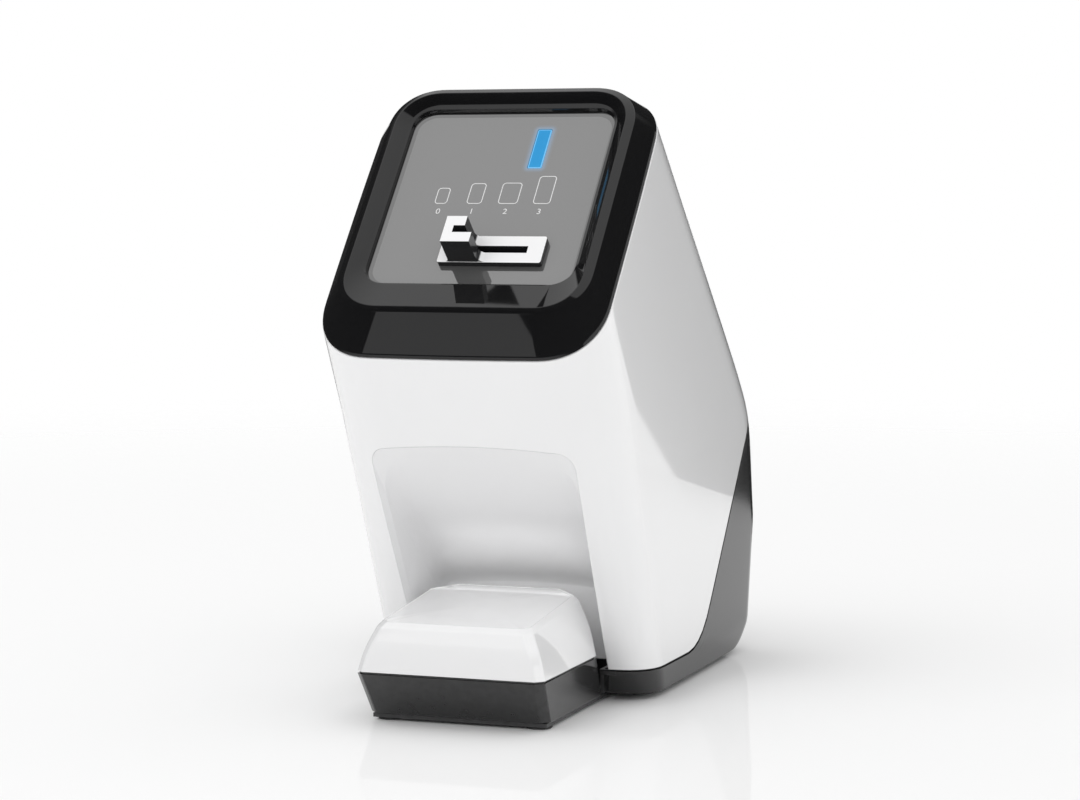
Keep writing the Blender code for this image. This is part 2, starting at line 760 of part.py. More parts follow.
def pocket_solid(grow, name, start_y, end_y):
    """The drawer pocket's inside, grown by a wall, as a loft from front to rear."""
    front = front_y(POCKET_TOP)
    slope = (POCKET_TOP - POCKET_REAR_TOP) / (POCKET_REAR_Y - front)
    rings = []
    for y in (start_y, end_y):
        top = POCKET_TOP - (y - front) * slope
        rings.append(arch_ring(y, POCKET_HALF_WIDTH, POCKET_HALF_WIDTH, top, -OVERRUN, grow))
    return loft(rings, name=name)


def opening_solid(shrink, name):
    """The arched opening in the front face, as a loft through it."""
    top = POCKET_TOP + OPENING_RISE
    rings = [
        arch_ring(y, OPENING_HALF_WIDTH, OPENING_FOOT_HALF_WIDTH, top, SEAM_HEIGHT - OVERRUN, -shrink)
        for y in (-OVERRUN, front_y(0) + OVERRUN)
    ]
    return loft(rings, name=name)


def behind_front(setback, top, bottom, rear):
    """A side view of what lies behind the front face by a setback."""
    step = setback / math.cos(FRONT_LEAN)
    return [
        (front_y(top) + step, top),
        (front_y(bottom) + step, bottom),
        (rear, bottom),
        (rear, top),
    ]


white_plastic = material("white_plastic", (0.86, 0.86, 0.85), 0.25)
gloss_black = material("gloss_black", (0.012, 0.012, 0.013), 0.08)
grey_glass = material("grey_glass", (0.22, 0.22, 0.22), 0.06)
light_blue = material("light_blue", (0.03, 0.32, 0.72), 0.3)
dark_grey = material("dark_grey", (0.045, 0.045, 0.048), 0.35)
soft_foam = material("soft_foam", (0.03, 0.03, 0.03), 0.95)
rubber = material("rubber", (0.02, 0.02, 0.02), 0.8)
sheet_steel = material("sheet_steel", (0.55, 0.56, 0.58), 0.35, 1.0)
bright_steel = material("bright_steel", (0.7, 0.7, 0.72), 0.2, 1.0)
black_plastic = material("black_plastic", (0.02, 0.02, 0.022), 0.45)
white_gear = material("white_gear", (0.8, 0.79, 0.74), 0.4)
board_green = material("board_green", (0.02, 0.16, 0.07), 0.45)
clear_acrylic = material("clear_acrylic", (0.75, 0.82, 0.85), 0.05)
mirror_silver = material("mirror_silver", (0.9, 0.9, 0.92), 0.03, 1.0)


def front_shell():
    """The white moulding between the bezel and the seam, open at both."""
    shell = place("front_shell", body_loft(0.0, "front_shell"), white_plastic, body_frame)
    hollow = tool("shell_hollow", body_loft(WALL, "shell_hollow"), body_frame)
    region = side_solid(shell_region(), BODY_HALF_WIDTH + OVERRUN, "shell_region")
    combine(shell, hollow, "DIFFERENCE")
    combine(shell, tool("shell_region", region, body_frame, rotation=SIDEWAYS), "INTERSECT")
    combine(shell, tool("shell_opening", opening_solid(0.0, "shell_opening"), body_frame), "DIFFERENCE")


def bezel():
    """The black ring round the glass: lip, chin, crest, inner slope and glass seat in one loft."""
    lip = BEZEL_SHADOW_GAP + BEZEL_LIP
    crest_start = BEZEL_START + CREST_INSET / 2
    crest_end = BEZEL_END - CREST_INSET
    seat_half_width = WINDOW_HALF_WIDTH + GLASS_MARGIN + GAP
    seat_start = WINDOW_START - GLASS_MARGIN - GAP
    seat_end = WINDOW_END + GLASS_MARGIN + GAP
    seat_height = GLASS_TOP + GAP
    floor = GLASS_BOTTOM - GAP
    skirt_inset = WALL + SKIRT_CLEARANCE
    rings = [
        body_panel_ring(BEZEL_SHADOW_GAP, BEZEL_LIP_INSET),
        body_panel_ring(lip, BEZEL_LIP_INSET + BEZEL_LIP_TAPER),
        panel_ring(BEZEL_HALF_WIDTH, BEZEL_START, BEZEL_END, BEZEL_CORNER, BEZEL_HEIGHT),
        panel_ring(
            BEZEL_HALF_WIDTH - CREST_INSET, crest_start, crest_end,
            BEZEL_CORNER - CREST_INSET, BEZEL_HEIGHT + CREST_RISE,
        ),
        panel_ring(CREASE_HALF_WIDTH, CREASE_START, CREASE_END, CREASE_CORNER, CREASE_HEIGHT),
        panel_ring(WINDOW_HALF_WIDTH, WINDOW_START, WINDOW_END, WINDOW_CORNER, seat_height),
        panel_ring(seat_half_width, seat_start, seat_end, WINDOW_CORNER + GLASS_MARGIN, seat_height),
        panel_ring(seat_half_width, seat_start, seat_end, WINDOW_CORNER + GLASS_MARGIN, floor),
        panel_ring(
            seat_half_width + BEZEL_WALL, seat_start - BEZEL_WALL, seat_end + BEZEL_WALL,
            WINDOW_CORNER + GLASS_MARGIN + BEZEL_WALL, floor,
        ),
        body_panel_ring(BEZEL_SHADOW_GAP + BEZEL_WALL, skirt_inset + SKIRT_WALL + BEZEL_WALL),
        body_panel_ring(-SKIRT_REACH, skirt_inset + SKIRT_WALL),
        body_panel_ring(-SKIRT_REACH, skirt_inset),
        body_panel_ring(BEZEL_SHADOW_GAP, skirt_inset),
    ]
    place("bezel", loft(rings, True, "bezel"), gloss_black, panel_frame)


def glass_panel():
    """The grey glass, seated under the bezel's window, with holes for the slot and the light."""
    margin = GLASS_MARGIN
    corner = WINDOW_CORNER + margin
    outline = panel_ring(WINDOW_HALF_WIDTH + margin, WINDOW_START - margin, WINDOW_END + margin, corner, 0)
    slot_reach = SLOT_WIDTH / 2 + NECK_WALL + GAP
    neck_hole = rectangle(
        SLOT_START - NECK_WALL - GAP, SLOT_END + NECK_WALL + GAP,
        SLOT_CENTRE_Y - slot_reach, SLOT_CENTRE_Y + slot_reach, INLET_CORNER,
    )
    light_hole = rectangle(
        LIGHT_CENTRE_X - LIGHT_WIDTH / 2 - GAP, LIGHT_CENTRE_X + LIGHT_WIDTH / 2 + GAP,
        LIGHT_CENTRE_Y - LIGHT_LENGTH / 2 - GAP, LIGHT_CENTRE_Y + LIGHT_LENGTH / 2 + GAP, LIGHT_CORNER,
    )
    mesh = slab([[(x, y) for x, y, _ in outline], neck_hole, light_hole], GLASS_THICKNESS, "glass_panel")
    place("glass_panel", mesh, grey_glass, panel_frame, (0, 0, GLASS_TOP - GLASS_THICKNESS / 2))


def status_light():
    """The blue lens in the glass, and its board of lamps behind it."""
    lens = slab(
        [rectangle(-LIGHT_WIDTH / 2, LIGHT_WIDTH / 2, -LIGHT_LENGTH / 2, LIGHT_LENGTH / 2, LIGHT_CORNER)],
        GLASS_THICKNESS, "status_light_lens",
    )
    middle = (LIGHT_CENTRE_X, LIGHT_CENTRE_Y, GLASS_TOP - GLASS_THICKNESS / 2)
    place("status_light_lens", lens, light_blue, panel_frame, middle)
    lamps_height = GLASS_BOTTOM - GAP
    lamps = tool(
        "status_lamps",
        box((LIGHT_WIDTH, LIGHT_LENGTH, lamps_height)),
        panel_frame, (LIGHT_CENTRE_X, LIGHT_CENTRE_Y, lamps_height / 2),
    )
    margin = 2 * LIGHT_BOARD_MARGIN
    board = place(
        "status_board", box((LIGHT_WIDTH + margin, LIGHT_LENGTH + margin, BOARD_THICKNESS)),
        board_green, panel_frame, (LIGHT_CENTRE_X, LIGHT_CENTRE_Y, BOARD_THICKNESS / 2),
    )
    combine(board, lamps, "UNION")


def fillet_outline(x, z, radius, side):
    """A hollow corner between an upright face and a floor, on the given side of the face."""
    outline = [(x - side * GAP, z - GAP), (x + side * radius, z - GAP), (x + side * radius, z)]
    for i in range(1, 6):
        angle = math.pi / 2 * i / 6
        outline.append((x + side * radius * (1 - math.sin(angle)), z + radius * (1 - math.cos(angle))))
    outline += [(x, z + radius), (x - side * GAP, z + radius)]
    return outline


def inlet_guide():
    """The white frame round the plate slot, with the C-shaped edge guide rising at its left."""
    low = SLOT_CENTRE_Y - INLET_DEPTH / 2
    high = SLOT_CENTRE_Y + INLET_DEPTH / 2
    slot_low = SLOT_CENTRE_Y - SLOT_WIDTH / 2
    slot_high = SLOT_CENTRE_Y + SLOT_WIDTH / 2
    floor = GLASS_TOP + GAP
    top = floor + INLET_HEIGHT
    frame_mesh = slab([rectangle(INLET_LEFT, INLET_RIGHT, low, high, INLET_CORNER)], INLET_HEIGHT)
    guide = place("inlet_guide", frame_mesh, white_plastic, panel_frame, (0, 0, floor + INLET_HEIGHT / 2))
    edge_low, edge_high = low + GAP, high - GAP
    tower = slab(
        [[
            (GUIDE_LEFT, edge_low), (GUIDE_FRONT_LEG_END, edge_low), (GUIDE_FRONT_LEG_END, SLOT_CENTRE_Y),
            (GUIDE_BACK_LEG_END, SLOT_CENTRE_Y), (GUIDE_BACK_LEG_END, edge_high), (GUIDE_LEFT, edge_high),
        ]],
        GUIDE_HEIGHT, "edge_guide",
    )
    combine(guide, tool("edge_guide", tower, panel_frame, (0, 0, floor + GUIDE_HEIGHT / 2)), "UNION")
    fillets = [
        ("front_fillet", GUIDE_FRONT_LEG_END, edge_low, slot_low, GUIDE_FILLET, 1),
        ("back_fillet", GUIDE_BACK_LEG_END, slot_high, edge_high, GUIDE_FILLET, 1),
        ("left_fillet", GUIDE_LEFT, edge_low, edge_high, GUIDE_FILLET / 2, -1),
    ]
    for name, x, start, end, radius, side in fillets:
        mesh = slab([fillet_outline(x, top, radius, side)], end - start - GAP, name)
        place_at = (0, (start + end) / 2, 0)
        combine(guide, tool(name, mesh, panel_frame, place_at, (math.pi / 2, 0, 0)), "UNION")
    neck = slab(
        [rectangle(
            SLOT_START - NECK_WALL, SLOT_END + NECK_WALL, slot_low - NECK_WALL, slot_high + NECK_WALL,
            INLET_CORNER,
        )],
        NECK_REACH, "inlet_neck",
    )
    combine(guide, tool("inlet_neck", neck, panel_frame, (0, 0, floor + GAP - NECK_REACH / 2)), "UNION")
    slot = box((SLOT_END - SLOT_START, SLOT_WIDTH, 4 * GUIDE_HEIGHT), "plate_slot")
    slot_middle = (UNIT_CENTRE_X, SLOT_CENTRE_Y, 0)
    combine(guide, tool("plate_slot", slot, panel_frame, slot_middle), "DIFFERENCE")


def light_seal():
    """A foam block under the glass, slit for the plate."""
    top = GLASS_TOP + GAP - NECK_REACH
    bottom = -UNIT_TOP_DEPTH + GAP
    slit = rectangle(
        SLOT_START, SLOT_END, SLOT_CENTRE_Y - SLOT_WIDTH / 4, SLOT_CENTRE_Y + SLOT_WIDTH / 4
    )
    outline = rectangle(
        UNIT_CENTRE_X - SEAL_HALF_LENGTH, UNIT_CENTRE_X + SEAL_HALF_LENGTH,
        SLOT_CENTRE_Y - SEAL_HALF_DEPTH, SLOT_CENTRE_Y + SEAL_HALF_DEPTH,
    )
    mesh = slab([outline, slit], top - bottom, "light_seal")
    place("light_seal", mesh, soft_foam, panel_frame, (0, 0, (top + bottom) / 2))


def pocket_liner():
    """The white scoop behind the arched opening, with its lip and the mouth of the chute."""
    rear = POCKET_REAR_Y + POCKET_WALL
    body = pocket_solid(POCKET_WALL, "pocket_liner", -OVERRUN, rear)
    liner = place("pocket_liner", body, white_plastic, body_frame)
    behind = behind_front(WALL + GAP, POCKET_TOP + OVERRUN, SEAM_HEIGHT + GAP, rear + OVERRUN)
    behind_mesh = side_solid(behind, BODY_HALF_WIDTH, "liner_body")
    combine(liner, tool("liner_body", behind_mesh, body_frame, rotation=SIDEWAYS), "INTERSECT")
    lip = tool("pocket_lip", opening_solid(GAP, "pocket_lip"), body_frame)
    lip_back = WALL + GAP + POCKET_WALL
    slice_outline = [
        (front_y(POCKET_TOP + OVERRUN), POCKET_TOP + OVERRUN),
        (front_y(SEAM_HEIGHT), SEAM_HEIGHT),
        (front_y(SEAM_HEIGHT) + lip_back / math.cos(FRONT_LEAN), SEAM_HEIGHT),
        (front_y(POCKET_TOP + OVERRUN) + lip_back / math.cos(FRONT_LEAN), POCKET_TOP + OVERRUN),
    ]
    slice_mesh = side_solid(slice_outline, BODY_HALF_WIDTH, "lip_slice")
    combine(lip, tool("lip_slice", slice_mesh, body_frame, rotation=SIDEWAYS), "INTERSECT")
    combine(liner, lip, "UNION")
    inside = pocket_solid(0.0, "pocket_inside", -2 * OVERRUN, POCKET_REAR_Y)
    combine(liner, tool("pocket_inside", inside, body_frame), "DIFFERENCE")
    region = behind_front(LIP_SETBACK, POCKET_TOP + OVERRUN, SEAM_HEIGHT + GAP, rear + OVERRUN)
    region_mesh = side_solid(region, BODY_HALF_WIDTH, "liner_region")
    combine(liner, tool("liner_region", region_mesh, body_frame, rotation=SIDEWAYS), "INTERSECT")
    mouth_width = CHUTE_WIDTH + 2 * GAP
    mouth = box((mouth_width, OVERRUN, MOUTH_TOP - MOUTH_BOTTOM), "chute_mouth")
    mouth_at = (UNIT_CENTRE_X, rear, (MOUTH_TOP + MOUTH_BOTTOM) / 2)
    combine(liner, tool("chute_mouth", mouth, body_frame, mouth_at), "DIFFERENCE")


def rear_cover():
    """The dark J-shaped moulding: rear wall, lower band, drawer channel, vents and port opening."""
    cover = place("rear_cover", body_loft(0.0, "rear_cover"), dark_grey, body_frame)
    hollow = tool("cover_hollow", body_loft(WALL, "cover_hollow"), body_frame)
    channel_reach = POCKET_REAR_Y + POCKET_WALL
    keep = box((2 * (POCKET_HALF_WIDTH + POCKET_WALL), 2 * channel_reach, 2 * SEAM_HEIGHT), "channel_keep")
    combine(hollow, tool("channel_keep", keep, body_frame), "DIFFERENCE")
    combine(cover, hollow, "DIFFERENCE")
    region = side_solid(cover_region(), BODY_HALF_WIDTH + OVERRUN, "cover_region")
    combine(cover, tool("cover_region", region, body_frame, rotation=SIDEWAYS), "INTERSECT")
    channel = box((2 * POCKET_HALF_WIDTH, 2 * POCKET_REAR_Y, 4 * SEAM_HEIGHT), "drawer_channel")
    combine(cover, tool("drawer_channel", channel, body_frame), "DIFFERENCE")
    opening = slab(
        [rectangle(
            -BASE_OPENING_HALF_WIDTH, BASE_OPENING_HALF_WIDTH, BASE_OPENING_FRONT_Y, BASE_OPENING_REAR_Y,
            PLATE_CORNER,
        )],
        2 * (BODY_BOTTOM + WALL + GAP), "base_opening",
    )
    combine(cover, tool("base_opening", opening, body_frame), "DIFFERENCE")
    port = box((2 * PORT_HALF_WIDTH, OVERRUN, PORT_TOP - PORT_BOTTOM), "port_opening")
    port_at = (0, BODY_DEPTH, PORT_CENTRE_Z)
    combine(cover, tool("port_opening", port, body_frame, port_at), "DIFFERENCE")
    for i in range(VENT_SLOTS):
        z = FAN_CENTRE_Z + (i - (VENT_SLOTS - 1) / 2) * VENT_PITCH
        slot = slab(
            [rectangle(-VENT_HALF_WIDTH, VENT_HALF_WIDTH, -VENT_HEIGHT / 2, VENT_HEIGHT / 2)], OVERRUN, "vent"
        )
        vent = tool(f"vent_{i + 1}", slot, body_frame, (0, BODY_DEPTH, z), (math.pi / 2, 0, 0))
        combine(cover, vent, "DIFFERENCE")
    for name, x, y in screw_places():
        hole = tool(f"cover_hole_{name}", rod(SCREW_RADIUS + GAP, OVERRUN, 12), body_frame, (x, y, 0))
        combine(cover, hole, "DIFFERENCE")


def screw_places():
    """Where the four base screws stand."""
    return [
        ("front_left", -FRONT_SCREW_X, FRONT_SCREW_Y),
        ("front_right", FRONT_SCREW_X, FRONT_SCREW_Y),
        ("rear_left", -REAR_SCREW_X, REAR_SCREW_Y),
        ("rear_right", REAR_SCREW_X, REAR_SCREW_Y),
    ]


def foot_places():
    """Where the four feet stand."""
    return [
        ("front_left", -FRONT_FOOT_X, FRONT_FOOT_Y),
        ("front_right", FRONT_FOOT_X, FRONT_FOOT_Y),
        ("rear_left", -REAR_FOOT_X, REAR_FOOT_Y),
        ("rear_right", REAR_FOOT_X, REAR_FOOT_Y),
    ]


def base_plate():
    """The flat steel bottom, with a tongue that carries the drawer."""
    wide, front, rear, cut = PLATE_HALF_WIDTH, PLATE_FRONT_Y, PLATE_REAR_Y, PLATE_CORNER
    tongue = TONGUE_HALF_WIDTH
    right = [
        (tongue, TONGUE_FRONT_Y), (tongue, front), (wide - cut / 2, front), (wide, front + cut / 2),
        (wide, rear - cut), (wide - cut, rear),
    ]
    outline = right + [(-x, y) for x, y in reversed(right)]
    holes = [circle(x, y, FOOT_STEM_RADIUS + GAP, 16) for _, x, y in foot_places()]
    holes += [circle(x, y, SCREW_RADIUS + GAP, 12) for _, x, y in screw_places()]
    mesh = slab([outline] + holes, PLATE_TOP - PLATE_BOTTOM, "base_plate")
    place("base_plate", mesh, black_plastic, body_frame, (0, 0, (PLATE_TOP + PLATE_BOTTOM) / 2))


def feet():
    """Four push-in rubber feet."""
    top = PLATE_BOTTOM - GAP
    edge = top / 3
    profile = [
        (0, PLATE_TOP - GAP), (FOOT_STEM_RADIUS, PLATE_TOP - GAP), (FOOT_STEM_RADIUS, top),
        (FOOT_RADIUS - edge, top), (FOOT_RADIUS, top - edge), (FOOT_RADIUS - edge, 0), (0, 0),
    ]
    mesh = turned(profile, name="foot")
    mesh.materials.append(rubber)
    for name, x, y in foot_places():
        made = bpy.data.objects.new(f"foot_{name}", mesh)
        made.parent = body_frame
        made.location = (x, y, 0)
        parts.objects.link(made)


def base_screws():
    """Four pan-head screws from below, through the plate into the cover."""
    head_top = PLATE_BOTTOM - GAP
    head_bottom = head_top - SCREW_HEAD_HEIGHT
    profile = [
        (0, head_top + SCREW_LENGTH), (SCREW_RADIUS, head_top + SCREW_LENGTH), (SCREW_RADIUS, head_top),
        (SCREW_HEAD_RADIUS, head_top), (SCREW_HEAD_RADIUS * SCREW_HEAD_share, head_bottom), (0, head_bottom),
    ]
    mesh = turned(profile, steps=12, name="base_screw")
    mesh.materials.append(bright_steel)
    for name, x, y in screw_places():
        made = bpy.data.objects.new(f"base_screw_{name}", mesh)
        made.parent = body_frame
        made.location = (x, y, 0)
        parts.objects.link(made)


def drawer_ring(half_width, start, end, corner, rear_corner, height, slope=0.0):
    """A drawer outline with cut corners, level or rising to the rear."""
    right = [
        (half_width - corner, start), (half_width, start + corner),
        (half_width, end - rear_corner), (half_width - rear_corner, end),
    ]
    outline = right + [(-x, y) for x, y in reversed(right)]
    return [(x, y, height + (y - start) * math.tan(slope)) for x, y in outline]


def drawer_tub():
    """The dark lower half of the drawer, tapering to its foot, open at the top."""
    top = DRAWER_SEAM - GAP
    wall = DRAWER_WALL
    floor = DRAWER_BOTTOM + wall
    front = -DRAWER_OVERHANG
    foot = (DRAWER_FOOT_HALF_WIDTH, DRAWER_FOOT_FRONT_Y, DRAWER_FOOT_REAR_Y)
    rings = [
        drawer_ring(*foot, DRAWER_CORNER, DRAWER_REAR_CORNER, DRAWER_BOTTOM),
        drawer_ring(DRAWER_HALF_WIDTH, front, DRAWER_REAR_Y, DRAWER_CORNER, DRAWER_REAR_CORNER, top),
        drawer_ring(
            DRAWER_HALF_WIDTH - wall, front + wall, DRAWER_REAR_Y - wall,
            DRAWER_CORNER, DRAWER_REAR_CORNER, top,
        ),
        drawer_ring(
            DRAWER_FOOT_HALF_WIDTH - wall, DRAWER_FOOT_FRONT_Y + wall, DRAWER_FOOT_REAR_Y - wall,
            DRAWER_CORNER, DRAWER_REAR_CORNER, floor,
        ),
    ]
    place("drawer_tub", loft(rings, name="drawer_tub"), dark_grey, body_frame)


def drawer_cap():
    """The white upper half of the drawer, with a mouth at the rear for the plates."""
    wall = DRAWER_WALL
    front = -DRAWER_OVERHANG
    corner, rear_corner, slope = DRAWER_CORNER, DRAWER_REAR_CORNER, CAP_TOP_SLOPE
    seam = (DRAWER_HALF_WIDTH, front, DRAWER_REAR_Y)
    shoulder = (CAP_SHOULDER_HALF_WIDTH, CAP_SHOULDER_FRONT_Y, CAP_SHOULDER_REAR_Y)
    top = (CAP_TOP_HALF_WIDTH, CAP_TOP_FRONT_Y, CAP_TOP_REAR_Y)

    def inset(values):
        half_width, start, end = values
        return half_width - wall, start + wall, end - wall

    belly = [(low + high) / 2 for low, high in zip(seam, shoulder)]
    belly = (belly[0] + CAP_BELLY, belly[1] - CAP_BELLY, belly[2] + CAP_BELLY)
    rings = [
        drawer_ring(*inset(shoulder), corner, rear_corner, CAP_SHOULDER_HEIGHT - wall, slope),
        drawer_ring(*inset(seam), corner, rear_corner, DRAWER_SEAM),
        drawer_ring(*seam, corner, rear_corner, DRAWER_SEAM),
        drawer_ring(*belly, corner, rear_corner, (DRAWER_SEAM + CAP_SHOULDER_HEIGHT) / 2, slope / 2),
        drawer_ring(*shoulder, corner, rear_corner, CAP_SHOULDER_HEIGHT, slope),
        drawer_ring(*top, corner, rear_corner, CAP_TOP_HEIGHT, slope),
    ]
    cap = place("drawer_cap", loft(rings, name="drawer_cap"), white_plastic, body_frame)
    mouth_height = DRAWER_MOUTH_TOP - DRAWER_MOUTH_BOTTOM
    mouth = box((2 * DRAWER_MOUTH_HALF_WIDTH, OVERRUN, mouth_height), "cap_mouth")
    mouth_at = (UNIT_CENTRE_X, DRAWER_REAR_Y, DRAWER_MOUTH_BOTTOM + mouth_height / 2)
    combine(cap, tool("cap_mouth", mouth, body_frame, mouth_at), "DIFFERENCE")


def drawer_pad():
    """The soft pad on the drawer's floor."""
    margin = DRAWER_WALL + PAD_MARGIN
    bottom = DRAWER_BOTTOM + DRAWER_WALL + GAP
    rear = DRAWER_REAR_Y - margin
    mesh = slab(
        [rectangle(
            margin - DRAWER_FOOT_HALF_WIDTH, DRAWER_FOOT_HALF_WIDTH - margin,
            DRAWER_FOOT_FRONT_Y + margin, rear, PAD_MARGIN,
        )],
        PAD_THICKNESS, "drawer_pad",
    )
    place("drawer_pad", mesh, soft_foam, body_frame, (0, 0, bottom + PAD_THICKNESS / 2))


def port_tray():
    """The recessed pan at the rear that carries the switch and the sockets."""
    outer = (2 * (PORT_HALF_WIDTH - GAP), BODY_DEPTH - PORT_PLATE_Y, PORT_TOP - PORT_BOTTOM - 2 * GAP)
    middle_y = (BODY_DEPTH + PORT_PLATE_Y) / 2
    tray = place("port_tray", box(outer), black_plastic, body_frame, (0, middle_y, PORT_CENTRE_Z))
    trim = tool("tray_trim", body_loft(PORT_SETBACK, "tray_trim"), body_frame)
    combine(tray, trim, "INTERSECT")
    inner = (outer[0] - 2 * PORT_WALL, outer[1], outer[2] - 2 * PORT_WALL)
    inside_at = (0, middle_y + PORT_WALL, PORT_CENTRE_Z)
    combine(tray, tool("tray_inside", box(inner), body_frame, inside_at), "DIFFERENCE")
    jack = tool(
        "jack_hole", rod(INLET_JACK_RADIUS + GAP, OVERRUN), body_frame,
        (INLET_JACK_X, PORT_PLATE_Y, PORT_CENTRE_Z), (math.pi / 2, 0, 0),
    )
    combine(tray, jack, "DIFFERENCE")
    sockets = [
        ("data_hole", DATA_PORT_X, DATA_PORT_WIDTH, DATA_PORT_HEIGHT),
        ("switch_hole", SWITCH_X, SWITCH_WIDTH, SWITCH_HEIGHT),
    ]
    for name, x, width, height in sockets:
        size = (width + 2 * GAP, OVERRUN, height + 2 * GAP)
        hole = tool(name, box(size), body_frame, (x, PORT_PLATE_Y, PORT_CENTRE_Z))
        combine(tray, hole, "DIFFERENCE")


def power_inlet():
    """The round power jack, with its flange against the tray and its pin in the bore."""
    face = PORT_PLATE_Y + PORT_WALL + PORT_PROUD
    flange_back = PORT_PLATE_Y + PORT_WALL + GAP
    back = PORT_PLATE_Y - PORT_BODY_DEPTH
    bore_floor = PORT_PLATE_Y - PORT_BODY_DEPTH / 2
    flange = INLET_JACK_RADIUS + PORT_FLANGE
    profile = [
        (0, face - PORT_PROUD), (INLET_JACK_PIN, face - PORT_PROUD), (INLET_JACK_PIN, bore_floor),
        (INLET_JACK_BORE, bore_floor), (INLET_JACK_BORE, face), (flange, face), (flange, flange_back),
        (INLET_JACK_RADIUS, flange_back), (INLET_JACK_RADIUS, back), (0, back),
    ]
    mesh = turned(profile, name="power_inlet")
    place(
        "power_inlet", mesh, black_plastic, body_frame,
        (INLET_JACK_X, 0, PORT_CENTRE_Z), (-math.pi / 2, 0, 0),
    )


def data_port():
    """The data socket, a metal box with a flange and an open mouth."""
    face = PORT_PLATE_Y + PORT_WALL + PORT_PROUD
    flange_back = PORT_PLATE_Y + PORT_WALL + GAP
    back = PORT_PLATE_Y - PORT_BODY_DEPTH
    size = (DATA_PORT_WIDTH, face - back, DATA_PORT_HEIGHT)
    port = place(
        "data_port", box(size), sheet_steel, body_frame, (DATA_PORT_X, (face + back) / 2, PORT_CENTRE_Z)
    )
    rim = (DATA_PORT_WIDTH + 2 * PORT_FLANGE, face - flange_back, DATA_PORT_HEIGHT + 2 * PORT_FLANGE)
    rim_at = (DATA_PORT_X, (face + flange_back) / 2, PORT_CENTRE_Z)
    combine(port, tool("data_rim", box(rim), body_frame, rim_at), "UNION")
    mouth = (DATA_PORT_WIDTH - 2 * PORT_FLANGE, size[1], DATA_PORT_HEIGHT - 2 * PORT_FLANGE)
    mouth_at = (DATA_PORT_X, (face + back) / 2 + PORT_FLANGE, PORT_CENTRE_Z)
    combine(port, tool("data_mouth", box(mouth), body_frame, mouth_at), "DIFFERENCE")


def rocker_pivot():
    """The switch rocker's pivot."""
    return (SWITCH_X, PORT_PLATE_Y + PORT_WALL / 2, PORT_CENTRE_Z)


def power_switch():
    """The mains rocker in its frame, on two pins."""
    face = PORT_PLATE_Y + PORT_WALL + PORT_PROUD / 2
    flange_back = PORT_PLATE_Y + PORT_WALL + GAP
    back = PORT_PLATE_Y - SWITCH_BODY_DEPTH
    size = (SWITCH_WIDTH, face - back, SWITCH_HEIGHT)
    case = place(
        "power_switch_frame", box(size), black_plastic, body_frame,
        (SWITCH_X, (face + back) / 2, PORT_CENTRE_Z),
    )
    rim = (SWITCH_WIDTH + PORT_FLANGE, face - flange_back, SWITCH_HEIGHT + PORT_FLANGE)
    rim_at = (SWITCH_X, (face + flange_back) / 2, PORT_CENTRE_Z)
    combine(case, tool("switch_rim", box(rim), body_frame, rim_at), "UNION")
    well = (SWITCH_WIDTH - 2 * SWITCH_RIM, size[1], SWITCH_HEIGHT - 2 * SWITCH_RIM)
    well_at = (SWITCH_X, (face + back) / 2 + SWITCH_RIM, PORT_CENTRE_Z)
    combine(case, tool("switch_well", box(well), body_frame, well_at), "DIFFERENCE")
    pin_length = SWITCH_WIDTH - SWITCH_RIM
    bores = rod(ROCKER_PIN_RADIUS + GAP, pin_length + GAP, 16)
    combine(case, tool("rocker_bores", bores, body_frame, rocker_pivot(), ACROSS), "DIFFERENCE")
    tall = well[2] / 2 - ROCKER_CLEARANCE
    crest = face - rocker_pivot()[1]
    ends = crest + tall * math.tan(ROCKER_TILT)
    root = -ROCKER_CREST / 2
    outline = [
        (root, -tall / 2), (crest - WELD, -tall), (ends, -tall), (crest, 0), (ends, tall),
        (crest - WELD, tall), (root, tall / 2),
    ]
    tipped = Matrix.Rotation(ROCKER_TILT, 2)
    outline = [tuple(tipped @ Vector(point)) for point in outline]
    rocker_mesh = slab([outline], well[0] - 2 * ROCKER_CLEARANCE, "power_rocker")
    rocker = place("power_rocker", rocker_mesh, black_plastic, body_frame, rocker_pivot(), SIDEWAYS)
    pins = rod(ROCKER_PIN_RADIUS, pin_length - GAP, 16)
    combine(rocker, tool("rocker_pins", pins, body_frame, rocker_pivot(), ACROSS), "UNION")


def fan_y():
    """The fan's outer face, just inside the rear wall at its nearer end."""
    half = FAN_SIZE / 2
    return min(rear_inside_y(FAN_CENTRE_Z + end, WALL + GAP) for end in (-half, half))


